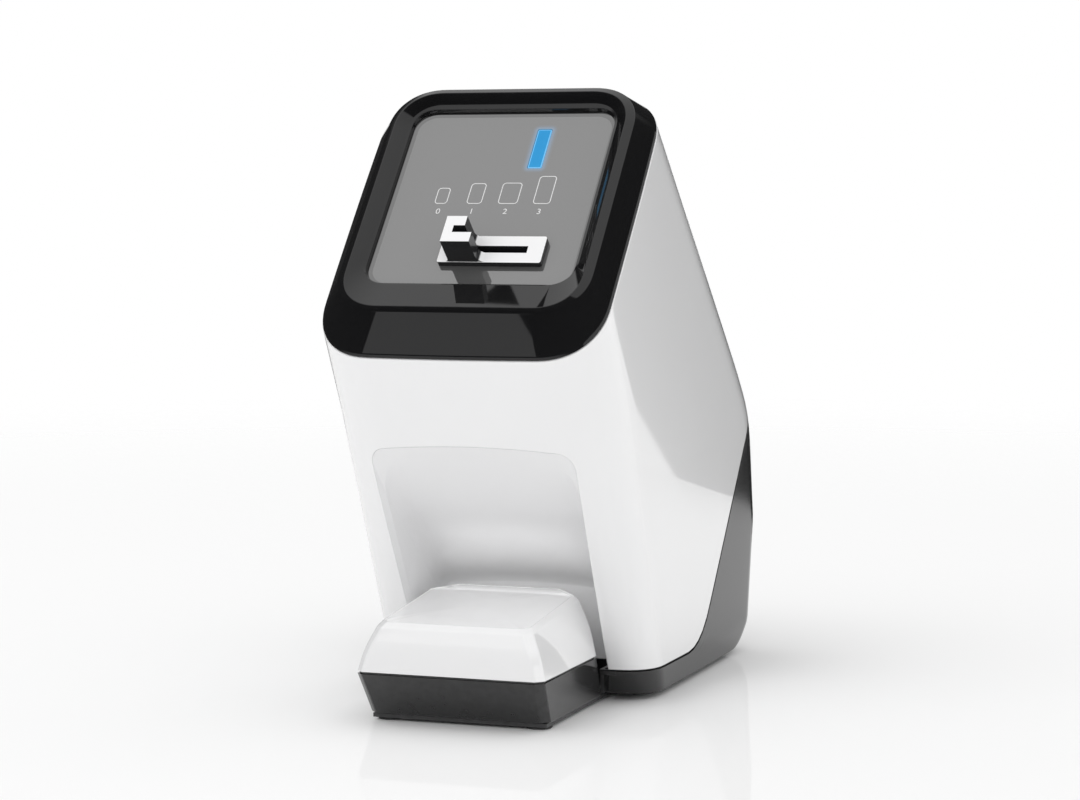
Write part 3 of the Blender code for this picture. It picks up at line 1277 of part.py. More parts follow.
def fan():
    """The cooling fan: a square frame with three arms, and its bladed rotor."""
    outer = fan_y()
    inner = outer - FAN_DEPTH
    half = FAN_SIZE / 2
    upright = (math.pi / 2, 0, 0)
    loops = [rectangle(-half, half, -half, half, FAN_BACK), circle(0, 0, FAN_BORE, 32)]
    middle = (0, (outer + inner) / 2, FAN_CENTRE_Z)
    frame_mesh = slab(loops, FAN_DEPTH, "fan_frame")
    body = place("fan_frame", frame_mesh, black_plastic, body_frame, middle, upright)
    back_at = (0, inner + GAP + FAN_BACK / 2, FAN_CENTRE_Z)
    combine(body, tool("fan_plate", rod(FAN_HUB_RADIUS, FAN_BACK), body_frame, back_at, upright), "UNION")
    for i in range(3):
        angle = math.pi / 2 + i * 2 * math.pi / 3
        arm = box((FAN_BORE - FAN_HUB_RADIUS + 2 * FAN_BACK, FAN_BACK - 2 * GAP, FAN_BACK), "fan_arm")
        reach = (FAN_BORE + FAN_HUB_RADIUS) / 2
        at = (reach * math.cos(angle), back_at[1], FAN_CENTRE_Z + reach * math.sin(angle))
        combine(body, tool(f"fan_arm_{i + 1}", arm, body_frame, at, (0, -angle, 0)), "UNION")
    bore = rod(POLYGON_SHAFT_RADIUS + GAP, 4 * FAN_BACK, 16)
    combine(body, tool("fan_bore", bore, body_frame, back_at, upright), "DIFFERENCE")
    hub_start = inner + FAN_BACK + 3 * GAP
    hub_length = outer - FAN_BACK - hub_start
    hub_at = (0, hub_start + hub_length / 2, FAN_CENTRE_Z)
    hub = rod(FAN_HUB_RADIUS, hub_length, 24)
    rotor = place("fan_rotor", hub, black_plastic, body_frame, hub_at, upright)
    pin = rod(POLYGON_SHAFT_RADIUS, 2 * (FAN_BACK + GAP), 16)
    pin_at = (0, hub_start, FAN_CENTRE_Z)
    combine(rotor, tool("fan_pin", pin, body_frame, pin_at, upright), "UNION")
    span = FAN_BLADE_RADIUS - FAN_HUB_RADIUS
    chord = hub_length / math.sin(FAN_PITCH) * FAN_CHORD_share
    for i in range(FAN_BLADES):
        angle = 2 * math.pi * i / FAN_BLADES
        blade = box((2 * span, FAN_BLADE_THICKNESS, chord), "fan_blade")
        blade.transform(Matrix.Rotation(FAN_PITCH, 4, "X"))
        blade.transform(Matrix.Translation((FAN_HUB_RADIUS, 0, 0)))
        blade_at = (0, hub_at[1], FAN_CENTRE_Z)
        piece = tool(f"fan_blade_{i + 1}", blade, body_frame, blade_at, (0, -angle, 0))
        combine(rotor, piece, "UNION")
    sweep = tube(FAN_BLADE_RADIUS + OVERRUN, FAN_BLADE_RADIUS, OVERRUN, 36)
    combine(rotor, tool("fan_sweep", sweep, body_frame, hub_at, upright), "DIFFERENCE")


def side_plate_outline():
    """A side plate in side view: the head along the plate path, the optics arm and the leg."""
    top = UNIT_TOP_DEPTH
    head_low = ROLLER_Y - 2 * ROLLER_RADIUS
    head_high = SPACER_Y + 2 * SPACER_RADIUS
    arm_top = BEAM_DEPTH - LASER_RADIUS
    arm_low = BENCH_DEPTH + BENCH_THICKNESS + MOTOR_RADIUS
    motor_low = MOTOR_Y - MOTOR_RADIUS - 2 * SHAFT_RADIUS
    lamp_low = LAMP_DEPTH + LAMP_LENGTH
    leg_bottom = BODY_BOTTOM + SIDE_PLATE_THICKNESS / 2
    return [
        panel_to_side(head_low, top), panel_to_side(head_high, top), panel_to_side(head_high, arm_top),
        panel_to_side(BENCH_END, arm_top), panel_to_side(BENCH_END, arm_low),
        panel_to_side(BENCH_START, arm_low), panel_to_side(BENCH_START, lamp_low),
        (LEG_REAR_Y, LEG_SHOULDER_Z), (LEG_REAR_Y, leg_bottom), (LEG_FRONT_Y, leg_bottom),
        (LEG_FRONT_Y, LEG_SHOULDER_Z), panel_to_side(motor_low + 2 * ROLLER_RADIUS, lamp_low),
        panel_to_side(motor_low, IDLER_DEPTH + 2 * MOTOR_RADIUS),
        panel_to_side(motor_low, IDLER_DEPTH - 2 * MOTOR_RADIUS),
    ]


def side_plates():
    """The two sheet-steel plates that carry the scan unit, with their bent feet."""
    thick = SIDE_PLATE_THICKNESS
    sides = [("side_plate_left", -1), ("side_plate_right", 1)]
    for name, side in sides:
        x = UNIT_CENTRE_X + side * (UNIT_HALF_WIDTH + thick / 2)
        mesh = slab([side_plate_outline()], thick, name)
        plate = place(name, mesh, sheet_steel, body_frame, (x, 0, 0), SIDEWAYS)
        flange = box((LEG_FLANGE, LEG_REAR_Y - LEG_FRONT_Y - 2 * thick, thick), "leg_flange")
        flange_at = (x + side * LEG_FLANGE / 2, (LEG_REAR_Y + LEG_FRONT_Y) / 2, BODY_BOTTOM + thick / 2)
        combine(plate, tool(f"{name}_flange", flange, body_frame, flange_at), "UNION")
        holes = [
            ("feed", ROLLER_Y, FEED_DEPTH, BUSH_RADIUS + GAP),
            ("exit", ROLLER_Y, EXIT_DEPTH, BUSH_RADIUS + GAP),
            ("feed_pinch", PINCH_Y, FEED_DEPTH, PINCH_SHAFT_RADIUS + GAP),
            ("exit_pinch", PINCH_Y, EXIT_DEPTH, PINCH_SHAFT_RADIUS + GAP),
        ]
        if side > 0:
            holes.append(("motor", MOTOR_Y, IDLER_DEPTH, 2 * MOTOR_SHAFT_RADIUS))
        else:
            holes.append(("collector", COLLECTOR_Y, COLLECTOR_DEPTH, COLLECTOR_RADIUS + GAP))
        for label, y, depth, radius in holes:
            cutter = tool(f"{name}_{label}", rod(radius, OVERRUN, 20), panel_frame, (x, y, -depth), ACROSS)
            combine(plate, cutter, "DIFFERENCE")
        if side > 0:
            reach = GEAR_OFFSET + GEAR_WIDTH + thick / 2
            stud_at = (x + reach / 2, ROLLER_Y, -IDLER_DEPTH)
            stud = tool("idler_stud", rod(SHAFT_RADIUS, reach), panel_frame, stud_at, ACROSS)
            combine(plate, stud, "UNION")


def rollers():
    """The driven rollers with their shafts, sleeves and bushes, and the pinch rollers."""
    thick = SIDE_PLATE_THICKNESS
    left = UNIT_CENTRE_X - UNIT_HALF_WIDTH - thick - BUSH_FLANGE
    right = GEAR_X + GEAR_WIDTH / 2 + BUSH_FLANGE
    for name, depth in (("feed", FEED_DEPTH), ("exit", EXIT_DEPTH)):
        shaft_at = ((left + right) / 2, ROLLER_Y, -depth)
        shaft = rod(SHAFT_RADIUS, right - left)
        place(f"{name}_roller_shaft", shaft, bright_steel, panel_frame, shaft_at, ACROSS)
        sleeve = tube(ROLLER_RADIUS, SHAFT_RADIUS + GAP, ROLLER_LENGTH, name=f"{name}_sleeve")
        place(f"{name}_roller_sleeve", sleeve, rubber, panel_frame, (UNIT_CENTRE_X, ROLLER_Y, -depth), ACROSS)
        for side, label in ((-1, "left"), (1, "right")):
            profile = [
                (BUSH_RADIUS, thick), (BUSH_RADIUS, -GAP), (BUSH_FLANGE_RADIUS, -GAP),
                (BUSH_FLANGE_RADIUS, -BUSH_FLANGE - GAP), (SHAFT_RADIUS + GAP, -BUSH_FLANGE - GAP),
                (SHAFT_RADIUS + GAP, thick),
            ]
            bush = turned(profile, True, 16, f"{name}_bush")
            bush_at = (UNIT_CENTRE_X + side * UNIT_HALF_WIDTH, ROLLER_Y, -depth)
            turn = (0, side * math.pi / 2, 0)
            place(f"{name}_bush_{label}", bush, white_gear, panel_frame, bush_at, turn)
        half, end = PINCH_LENGTH / 2, UNIT_HALF_WIDTH + thick
        profile = [
            (0, end), (PINCH_SHAFT_RADIUS, end), (PINCH_SHAFT_RADIUS, half), (PINCH_RADIUS, half),
            (PINCH_RADIUS, -half), (PINCH_SHAFT_RADIUS, -half), (PINCH_SHAFT_RADIUS, -end), (0, -end),
        ]
        pinch = turned(profile, steps=20, name=f"{name}_pinch")
        pinch_at = (UNIT_CENTRE_X, PINCH_Y, -depth)
        place(f"{name}_pinch_roller", pinch, bright_steel, panel_frame, pinch_at, ACROSS)


def gear_outline(teeth, phase):
    """A gear's outline: flank points on each tooth, narrowed by the backlash."""
    pitch_radius = teeth * GEAR_TOOTH_SIZE / 2
    tip = pitch_radius + GEAR_TIP_share * GEAR_TOOTH_SIZE
    root = pitch_radius - GEAR_ROOT_share * GEAR_TOOTH_SIZE
    step = 2 * math.pi / teeth
    slack = GEAR_BACKLASH / pitch_radius / 2
    flank_shares = [(-0.36, root), (-0.12, tip), (0.12, tip), (0.36, root)]
    outline = []
    for i in range(teeth):
        for share, radius in flank_shares:
            narrow = slack * (1 if share < 0 else -1)
            angle = phase + step * (i + share) + narrow
            outline.append((radius * math.cos(angle), radius * math.sin(angle)))
    return outline


def mesh_phase(teeth, phase, other_teeth, direction):
    """The phase of a gear that meshes with another lying in the given direction from the first."""
    return direction + math.pi + math.pi / other_teeth + (direction - phase) * teeth / other_teeth


def gear_train():
    """The drive: motor pinion, idler and the two roller gears, outside the right plate."""
    feed_phase = 0.0
    idler_phase = mesh_phase(ROLLER_GEAR_TEETH, feed_phase, IDLER_TEETH, 0.0)
    exit_phase = mesh_phase(IDLER_TEETH, idler_phase, ROLLER_GEAR_TEETH, 0.0)
    pinion_phase = mesh_phase(IDLER_TEETH, idler_phase, PINION_TEETH, -math.pi / 2)
    gears = [
        ("feed_gear", ROLLER_GEAR_TEETH, feed_phase, ROLLER_Y, FEED_DEPTH, SHAFT_RADIUS),
        ("idler_gear", IDLER_TEETH, idler_phase, ROLLER_Y, IDLER_DEPTH, SHAFT_RADIUS),
        ("exit_gear", ROLLER_GEAR_TEETH, exit_phase, ROLLER_Y, EXIT_DEPTH, SHAFT_RADIUS),
    ]
    for name, teeth, phase, y, depth, bore in gears:
        loops = [gear_outline(teeth, phase), circle(0, 0, bore + GAP, 24)]
        mesh = slab(loops, GEAR_WIDTH, name)
        place(name, mesh, white_gear, panel_frame, (GEAR_X, y, -depth), ACROSS)
    mesh = slab([gear_outline(PINION_TEETH, pinion_phase)], GEAR_WIDTH, "motor_pinion")
    pinion = place("motor_pinion", mesh, bright_steel, panel_frame, (GEAR_X, MOTOR_Y, -IDLER_DEPTH), ACROSS)
    inner = UNIT_CENTRE_X + UNIT_HALF_WIDTH
    shaft_start = inner - MOTOR_SHAFT_REACH
    length = GEAR_X - shaft_start
    shaft_at = (shaft_start + length / 2, MOTOR_Y, -IDLER_DEPTH)
    shaft = rod(MOTOR_SHAFT_RADIUS, length, 16)
    combine(pinion, tool("pinion_shaft", shaft, panel_frame, shaft_at, ACROSS), "UNION")
    motor_x = inner - GAP - MOTOR_LENGTH / 2
    motor = place(
        "drive_motor", rod(MOTOR_RADIUS, MOTOR_LENGTH, 32), sheet_steel, panel_frame,
        (motor_x, MOTOR_Y, -IDLER_DEPTH), ACROSS,
    )
    bore = rod(MOTOR_SHAFT_RADIUS + GAP, 2 * (MOTOR_SHAFT_REACH + GAP), 16)
    combine(motor, tool("motor_bore", bore, panel_frame, (inner, MOTOR_Y, -IDLER_DEPTH), ACROSS), "DIFFERENCE")


def plate_guides():
    """The two guide sheets along the path; the rear one has the scan slit."""
    start = FEED_DEPTH + ROLLER_RADIUS + GUIDE_SHEET_MARGIN
    end = EXIT_DEPTH - ROLLER_RADIUS - GUIDE_SHEET_MARGIN
    width = UNIT_INNER_WIDTH - 2 * GAP
    length = end - start
    middle = -(start + end) / 2
    offset = GUIDE_SHEET_SPACE / 2 + GUIDE_SHEET / 2
    front_at = (UNIT_CENTRE_X, SLOT_CENTRE_Y - offset, middle)
    place("guide_plate_front", box((width, GUIDE_SHEET, length)), sheet_steel, panel_frame, front_at)
    loops = [
        rectangle(-width / 2, width / 2, -length / 2, length / 2),
        rectangle(-SCAN_SLIT_LENGTH / 2, SCAN_SLIT_LENGTH / 2, -SCAN_SLIT_WIDTH / 2, SCAN_SLIT_WIDTH / 2),
    ]
    rear_at = (UNIT_CENTRE_X, SLOT_CENTRE_Y + offset, middle)
    mesh = slab(loops, GUIDE_SHEET, "guide_plate_rear")
    place("guide_plate_rear", mesh, sheet_steel, panel_frame, rear_at, (math.pi / 2, 0, 0))
    rod_at = (UNIT_CENTRE_X, SPACER_Y, -SPACER_DEPTH)
    place("spacer_rod", rod(SPACER_RADIUS, width), bright_steel, panel_frame, rod_at, ACROSS)


def optics():
    """The laser, spinning mirror, scan lens, light collector, detector and erase lamp."""
    width = UNIT_INNER_WIDTH - 2 * GAP
    bench_at = (UNIT_CENTRE_X, (BENCH_START + BENCH_END) / 2, -BENCH_DEPTH - BENCH_THICKNESS / 2)
    bench_size = (width, BENCH_END - BENCH_START, BENCH_THICKNESS)
    place("optics_bench", box(bench_size), sheet_steel, panel_frame, bench_at)
    floor = -BENCH_DEPTH + GAP
    motor_top = POLYGON_MOTOR_RADIUS * POLYGON_MOTOR_TOP_share
    motor_profile = [
        (POLYGON_SHAFT_RADIUS + GAP, POLYGON_MOTOR_HEIGHT), (motor_top, POLYGON_MOTOR_HEIGHT),
        (POLYGON_MOTOR_RADIUS, POLYGON_MOTOR_HEIGHT / 2), (POLYGON_MOTOR_RADIUS, 0),
        (POLYGON_SHAFT_RADIUS + GAP, 0),
    ]
    motor = turned(motor_profile, True, name="polygon_motor")
    place("polygon_motor", motor, sheet_steel, panel_frame, (UNIT_CENTRE_X, POLYGON_Y, floor))
    mirror_at = floor + POLYGON_MOTOR_HEIGHT + GAP + POLYGON_THICKNESS / 2
    mesh = rod(POLYGON_RADIUS, POLYGON_THICKNESS, POLYGON_SIDES, "polygon_mirror")
    mirror = place("polygon_mirror", mesh, mirror_silver, panel_frame, (UNIT_CENTRE_X, POLYGON_Y, mirror_at))
    shaft_length = POLYGON_MOTOR_HEIGHT + POLYGON_THICKNESS / 2
    shaft_at = (UNIT_CENTRE_X, POLYGON_Y, floor + GAP + shaft_length / 2)
    shaft = rod(POLYGON_SHAFT_RADIUS, shaft_length, 16)
    combine(mirror, tool("polygon_shaft", shaft, panel_frame, shaft_at), "UNION")
    laser_at = (UNIT_CENTRE_X + LASER_X, LASER_START + LASER_LENGTH / 2, -BEAM_DEPTH)
    upright = (math.pi / 2, 0, 0)
    barrel = rod(LASER_RADIUS, LASER_LENGTH)
    laser = place("laser_module", barrel, bright_steel, panel_frame, laser_at, upright)
    block_height = -BEAM_DEPTH - floor
    block = box((2 * LASER_RADIUS, LASER_LENGTH / 2, block_height), "laser_block")
    block_at = (laser_at[0], laser_at[1], floor + block_height / 2)
    combine(laser, tool("laser_block", block, panel_frame, block_at), "UNION")
    lens_at = (UNIT_CENTRE_X + LENS_X, LENS_Y, floor + LENS_HEIGHT / 2)
    lens = slab([lens_profile()], LENS_HEIGHT, "scan_lens")
    place("scan_lens", lens, clear_acrylic, panel_frame, lens_at)
    plate_outer = UNIT_CENTRE_X - UNIT_HALF_WIDTH - SIDE_PLATE_THICKNESS
    right = UNIT_CENTRE_X + UNIT_HALF_WIDTH - GAP
    left = plate_outer - GAP - DETECTOR_SOCKET + GAP
    collector_at = ((left + right) / 2, COLLECTOR_Y, -COLLECTOR_DEPTH)
    bar = rod(COLLECTOR_RADIUS, right - left, 24)
    place("light_collector", bar, clear_acrylic, panel_frame, collector_at, ACROSS)
    socket = -DETECTOR_SOCKET - GAP
    waist = -DETECTOR_LENGTH * DETECTOR_WAIST_share
    neck = DETECTOR_RADIUS * DETECTOR_NECK_share
    detector_profile = [
        (0, socket), (COLLECTOR_RADIUS + GAP, socket), (COLLECTOR_RADIUS + GAP, 0), (DETECTOR_RADIUS, 0),
        (DETECTOR_RADIUS, waist), (neck, waist), (neck, -DETECTOR_LENGTH), (0, -DETECTOR_LENGTH),
    ]
    detector = turned(detector_profile, name="light_detector")
    detector_at = (plate_outer - GAP, COLLECTOR_Y, -COLLECTOR_DEPTH)
    place("light_detector", detector, sheet_steel, panel_frame, detector_at, ACROSS)
    lamp_at = (UNIT_CENTRE_X, LAMP_Y, -LAMP_DEPTH)
    place("erase_lamp", box((width, LAMP_WIDTH, LAMP_LENGTH)), white_plastic, panel_frame, lamp_at)


def lens_profile():
    """The scan lens from above: flat towards the mirror, bowed towards the slit."""
    half = LENS_LENGTH / 2
    bow = LENS_WIDTH / 3
    outline = [(half, LENS_WIDTH / 2), (-half, LENS_WIDTH / 2)]
    for i in range(9):
        x = -half + LENS_LENGTH * i / 8
        outline.append((x, -LENS_WIDTH / 2 - bow * (1 - (x / half) ** 2) + bow))
    return outline


def exit_chute():
    """The curved channel that turns the plate and lets it slide into the drawer."""
    centre_y, centre_z = panel_to_side(CHUTE_TURN_Y, CHUTE_TURN_DEPTH)
    path = []
    start_angle = PANEL_TILT
    for i in range(CHUTE_STEPS + 1):
        angle = start_angle + (CHUTE_END_ANGLE - start_angle) * i / CHUTE_STEPS
        outward = (math.cos(angle), math.sin(angle))
        path.append((centre_y + CHUTE_RADIUS * outward[0], centre_z + CHUTE_RADIUS * outward[1], outward))
    y, z, outward = path[-1]
    run = (y - CHUTE_END_Y) / -math.sin(CHUTE_END_ANGLE)
    path.append((CHUTE_END_Y, z - run * math.cos(CHUTE_END_ANGLE), outward))
    half = CHUTE_WIDTH / 2
    section = [
        (-half, CHUTE_SHEET), (half, CHUTE_SHEET), (half, -CHUTE_LIP), (half - CHUTE_LIP_WALL, -CHUTE_LIP),
        (half - CHUTE_LIP_WALL, 0), (CHUTE_LIP_WALL - half, 0), (CHUTE_LIP_WALL - half, -CHUTE_LIP),
        (-half, -CHUTE_LIP),
    ]
    rings = []
    for y, z, (out_y, out_z) in path:
        rings.append([(UNIT_CENTRE_X + x, y + out * out_y, z + out * out_z) for x, out in section])
    place("exit_chute", loft(rings, name="exit_chute"), black_plastic, body_frame)


def circuit_board(name, side, chip_shares):
    """A board on four standoffs outside a side plate, with its larger parts fused on."""
    plate_face = UNIT_CENTRE_X + side * (UNIT_HALF_WIDTH + SIDE_PLATE_THICKNESS + GAP)
    board_x = plate_face + side * (STANDOFF_LENGTH + BOARD_THICKNESS / 2)
    length, height = BOARD_REAR_Y - BOARD_FRONT_Y, BOARD_TOP - BOARD_BOTTOM
    middle = (board_x, (BOARD_REAR_Y + BOARD_FRONT_Y) / 2, (BOARD_TOP + BOARD_BOTTOM) / 2)
    board = place(name, box((BOARD_THICKNESS, length, height)), board_green, body_frame, middle)
    room = BODY_HALF_WIDTH - WALL - BOARD_CLEARANCE - abs(board_x) - BOARD_THICKNESS / 2
    rear_top_y = BOARD_REAR_Y - 3 * STANDOFF_MARGIN
    corners = [
        (BOARD_FRONT_Y + STANDOFF_MARGIN, BOARD_BOTTOM + STANDOFF_MARGIN),
        (BOARD_REAR_Y - STANDOFF_MARGIN, BOARD_BOTTOM + STANDOFF_MARGIN),
        (BOARD_FRONT_Y + STANDOFF_MARGIN, BOARD_TOP - STANDOFF_MARGIN),
        (rear_top_y, BOARD_TOP - STANDOFF_MARGIN),
    ]
    for i, (y, z) in enumerate(corners):
        post = rod(STANDOFF_RADIUS, STANDOFF_LENGTH + GAP, 12)
        post_at = (plate_face + side * (STANDOFF_LENGTH + GAP) / 2, y, z)
        combine(board, tool(f"{name}_post_{i + 1}", post, body_frame, post_at, ACROSS), "UNION")
    for i, (at_y, at_z, size_y, size_z, rise) in enumerate(chip_shares):
        tall = rise * room + GAP
        chip = box((tall, size_y * length, size_z * height))
        chip_at = (
            board_x + side * (BOARD_THICKNESS + tall - 2 * GAP) / 2,
            BOARD_FRONT_Y + at_y * length,
            BOARD_BOTTOM + at_z * height,
        )
        combine(board, tool(f"{name}_chip_{i + 1}", chip, body_frame, chip_at), "UNION")


front_shell()
bezel()
glass_panel()
status_light()
inlet_guide()
light_seal()
pocket_liner()
rear_cover()
base_plate()
feet()
base_screws()
drawer_tub()
drawer_cap()
drawer_pad()
port_tray()
power_inlet()
data_port()
power_switch()
fan()
side_plates()
rollers()
gear_train()
plate_guides()
optics()
exit_chute()
circuit_board("main_board", -1, MAIN_CHIP_shares)
circuit_board("power_board", 1, POWER_CHIP_shares)
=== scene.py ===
import json
import math

import bmesh
import bpy
import numpy as np
from mathutils import Matrix, Vector

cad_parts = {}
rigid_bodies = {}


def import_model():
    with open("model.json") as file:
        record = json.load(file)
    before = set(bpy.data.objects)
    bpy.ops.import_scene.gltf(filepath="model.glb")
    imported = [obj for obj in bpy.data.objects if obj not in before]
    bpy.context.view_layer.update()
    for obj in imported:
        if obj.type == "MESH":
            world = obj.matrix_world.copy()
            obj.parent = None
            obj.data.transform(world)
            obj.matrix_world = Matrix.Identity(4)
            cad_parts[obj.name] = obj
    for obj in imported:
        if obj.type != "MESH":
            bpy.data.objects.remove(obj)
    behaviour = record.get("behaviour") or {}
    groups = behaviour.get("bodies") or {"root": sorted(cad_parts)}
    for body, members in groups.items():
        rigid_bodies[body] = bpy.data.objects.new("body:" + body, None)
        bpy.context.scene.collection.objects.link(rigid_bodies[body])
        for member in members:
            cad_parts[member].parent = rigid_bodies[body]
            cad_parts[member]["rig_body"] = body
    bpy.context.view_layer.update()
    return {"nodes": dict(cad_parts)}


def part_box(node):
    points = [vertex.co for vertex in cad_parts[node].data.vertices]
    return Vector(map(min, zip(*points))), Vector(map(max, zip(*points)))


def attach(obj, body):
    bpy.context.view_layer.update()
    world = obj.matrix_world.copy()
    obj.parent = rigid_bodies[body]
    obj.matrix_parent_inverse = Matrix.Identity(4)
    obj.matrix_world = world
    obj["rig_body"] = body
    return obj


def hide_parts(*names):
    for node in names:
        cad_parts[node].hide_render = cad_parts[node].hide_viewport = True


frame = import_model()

mm = 0.001
nodes = frame["nodes"]
print("frame loaded,", len(nodes), "nodes")

# The body's outer form, as the CAD has it
body = {
    "halfWidth": 80 * mm,
    "depth": 325.3 * mm,
    "foldHeight": 190.8 * mm,
    "panelLength": 181.5 * mm,
    "panelTilt": math.radians(48.7),
    "frontLean": math.radians(28.66),
    "bottom": 4 * mm,
    "wall": 2.6 * mm,
    "gap": 0.3 * mm,
    "frontCrown": 1.2 * mm,
    "sideBulge": 0.9 * mm,
    "backCrown": 3.5 * mm,
    "frontCorner": (20 * mm, 33.5 * mm),     # at the foot, at the top
    "frontCornerAt": (30 * mm, 160 * mm),    # the heights of the two
    "backCorner": (28 * mm, 26 * mm),        # on the rear wall, on the sloping back
    "backCornerStretch": 1.1,
    "rearBlend": 9.5 * mm,
    "rearStraight": 80 * mm,
    "rearLean": math.radians(11.3),
    "rearFootRadius": 17 * mm,
    "bandTaper": 3 * mm,
    "bandUndercut": math.radians(14),
    "cornerPower": 2.25,
    "seamDepth": 254 * mm,
    "seamHeight": 19 * mm,
    "seamRadius": 53 * mm,
    "foldY": -160.15 * mm,                   # the fold's place in the scene
}
tilt, lean, foldY = body["panelTilt"], body["frontLean"], body["foldY"]
panelPlace = Matrix.Translation((0, foldY, body["foldHeight"])) @ Matrix.Rotation(tilt, 4, "X")


# Shader nodes

def fillInputs(tree, node, inputs):
    # by order or by name, an input gets a value, or a link where the value is a socket
    for key, value in inputs.items() if isinstance(inputs, dict) else enumerate(inputs):
        socket = node.inputs[key]
        if isinstance(value, bpy.types.NodeSocket):
            tree.links.new(value, socket)
        elif value is not None:
            socket.default_value = (*value, 1.0) if socket.type == "RGBA" else value


def addNode(tree, kind, inputs=(), **settings):
    made = tree.nodes.new("ShaderNode" + kind)
    for name, value in settings.items():
        setattr(made, name, value)
    fillInputs(tree, made, inputs)
    return made


def mathNode(tree, operation, first, second=None, clamp=False):
    return addNode(tree, "Math", (first, second), operation=operation, use_clamp=clamp).outputs[0]


def productOf(tree, first, *others):
    for other in others:
        first = mathNode(tree, "MULTIPLY", first, other)
    return first


def vectorNode(tree, operation, first, second=None):
    made = addNode(tree, "VectorMath", (first, second), operation=operation)
    return made.outputs["Value" if operation in ("LENGTH", "DOT_PRODUCT") else "Vector"]


def scaled(tree, vector, factor):
    return addNode(tree, "VectorMath", {"Vector": vector, "Scale": factor}, operation="SCALE").outputs[0]


def objectPlace(tree):
    return addNode(tree, "TexCoord").outputs["Object"]


def surfaceNode(tree, label):
    return addNode(tree, "NewGeometry").outputs[label]


def noiseNode(tree, scale, detail, place=None):
    place = objectPlace(tree) if place is None else place
    return addNode(tree, "TexNoise", {"Vector": place, "Scale": scale, "Detail": detail}).outputs["Fac"]


def rampNode(tree, value, low, high, first=0.0, last=1.0):
    inputs = {"Value": value, "From Min": low, "From Max": high, "To Min": first, "To Max": last}
    return addNode(tree, "MapRange", inputs, interpolation_type="SMOOTHSTEP").outputs[0]


def mixColours(tree, factor, first, second):
    return addNode(tree, "Mix", {0: factor, 6: first, 7: second}, data_type="RGBA").outputs[2]


def bumpNode(tree, height, strength, distance=0.1 * mm):
    return addNode(tree, "Bump", {"Strength": strength, "Distance": distance, "Height": height}).outputs[0]


# Surface effects shared by the materials

def newGroup(name, inputs, outputs):
    # inputs by name with their first values; the outputs are plain numbers
    group = bpy.data.node_groups.new(name, "ShaderNodeTree")
    for label, value in inputs.items():
        kind = "NodeSocketVector" if isinstance(value, tuple) else "NodeSocketFloat"
        group.interface.new_socket(name=label, in_out="INPUT", socket_type=kind).default_value = value
    for label in outputs:
        group.interface.new_socket(name=label, in_out="OUTPUT", socket_type="NodeSocketFloat")
    return group, group.nodes.new("NodeGroupInput").outputs, group.nodes.new("NodeGroupOutput")


def makeMouldGroup():
    # fine mould texture for the height, and slow clouds for tone and gloss
    inputs = {"Grain Scale": 1800.0, "Cloud Scale": 18.0, "Tone Spread": 0.03, "Gloss Spread": 0.04}
    group, given, end = newGroup("mouldTexture", inputs, ("Height", "Tone", "Gloss Shift"))
    cloud = mathNode(group, "SUBTRACT", noiseNode(group, given["Cloud Scale"], 4.0), 0.5)
    fillInputs(group, end, {
        "Height": noiseNode(group, given["Grain Scale"], 3.0),
        "Tone": mathNode(group, "ADD", productOf(group, cloud, given["Tone Spread"]), 1.0),
        "Gloss Shift": productOf(group, cloud, given["Gloss Spread"]),
    })
    return group


def makeEdgeGroup():
    # outer edges, broken up by a noise, where handling rubs a moulding bright
    group, given, end = newGroup("edgeRub", {"Reach": 0.06, "Strength": 0.3}, ("Mask",))
    above = mathNode(group, "SUBTRACT", surfaceNode(group, "Pointiness"), 0.5)
    reached = mathNode(group, "DIVIDE", above, given["Reach"], clamp=True)
    broken = productOf(group, reached, noiseNode(group, 220.0, 3.0))
    fillInputs(group, end, [mathNode(group, "MULTIPLY", broken, given["Strength"], clamp=True)])
    return group


def makeDustGroup():
    # a thin dust that lies on what faces up
    group, given, end = newGroup("restingDust", {"Amount": 0.02, "Speck Scale": 900.0}, ("Mask",))
    facing = addNode(group, "SeparateXYZ", [surfaceNode(group, "Normal")]).outputs
    up = mathNode(group, "MAXIMUM", facing["Z"], 0.0)
    specks = noiseNode(group, given["Speck Scale"], 4.0)
    fillInputs(group, end, [productOf(group, up, specks, given["Amount"])])
    return group


def makeBrushGroup():
    # lines along one axis for rolled and ground metal
    inputs = {"Across": 2600.0, "Along": 60.0, "Gloss Spread": 0.12}
    group, given, end = newGroup("brushedLines", inputs, ("Height", "Gloss Shift"))
    sizes = addNode(group, "CombineXYZ", [given["Along"], given["Across"], given["Across"]]).outputs[0]
    lines = noiseNode(group, 1.0, 2.0, vectorNode(group, "MULTIPLY", objectPlace(group), sizes))
    shift = productOf(group, mathNode(group, "SUBTRACT", lines, 0.5), given["Gloss Spread"])
    fillInputs(group, end, [lines, shift])
    return group


def makeFacingGroup():
    # where a surface faces one direction
    inputs = {"Direction": (0.0, 0.0, 1.0), "Low": 0.5, "High": 0.75}
    group, given, end = newGroup("facingSide", inputs, ("Mask",))
    facing = vectorNode(group, "DOT_PRODUCT", surfaceNode(group, "Normal"), given["Direction"])
    fillInputs(group, end, [rampNode(group, facing, given["Low"], given["High"])])
    return group


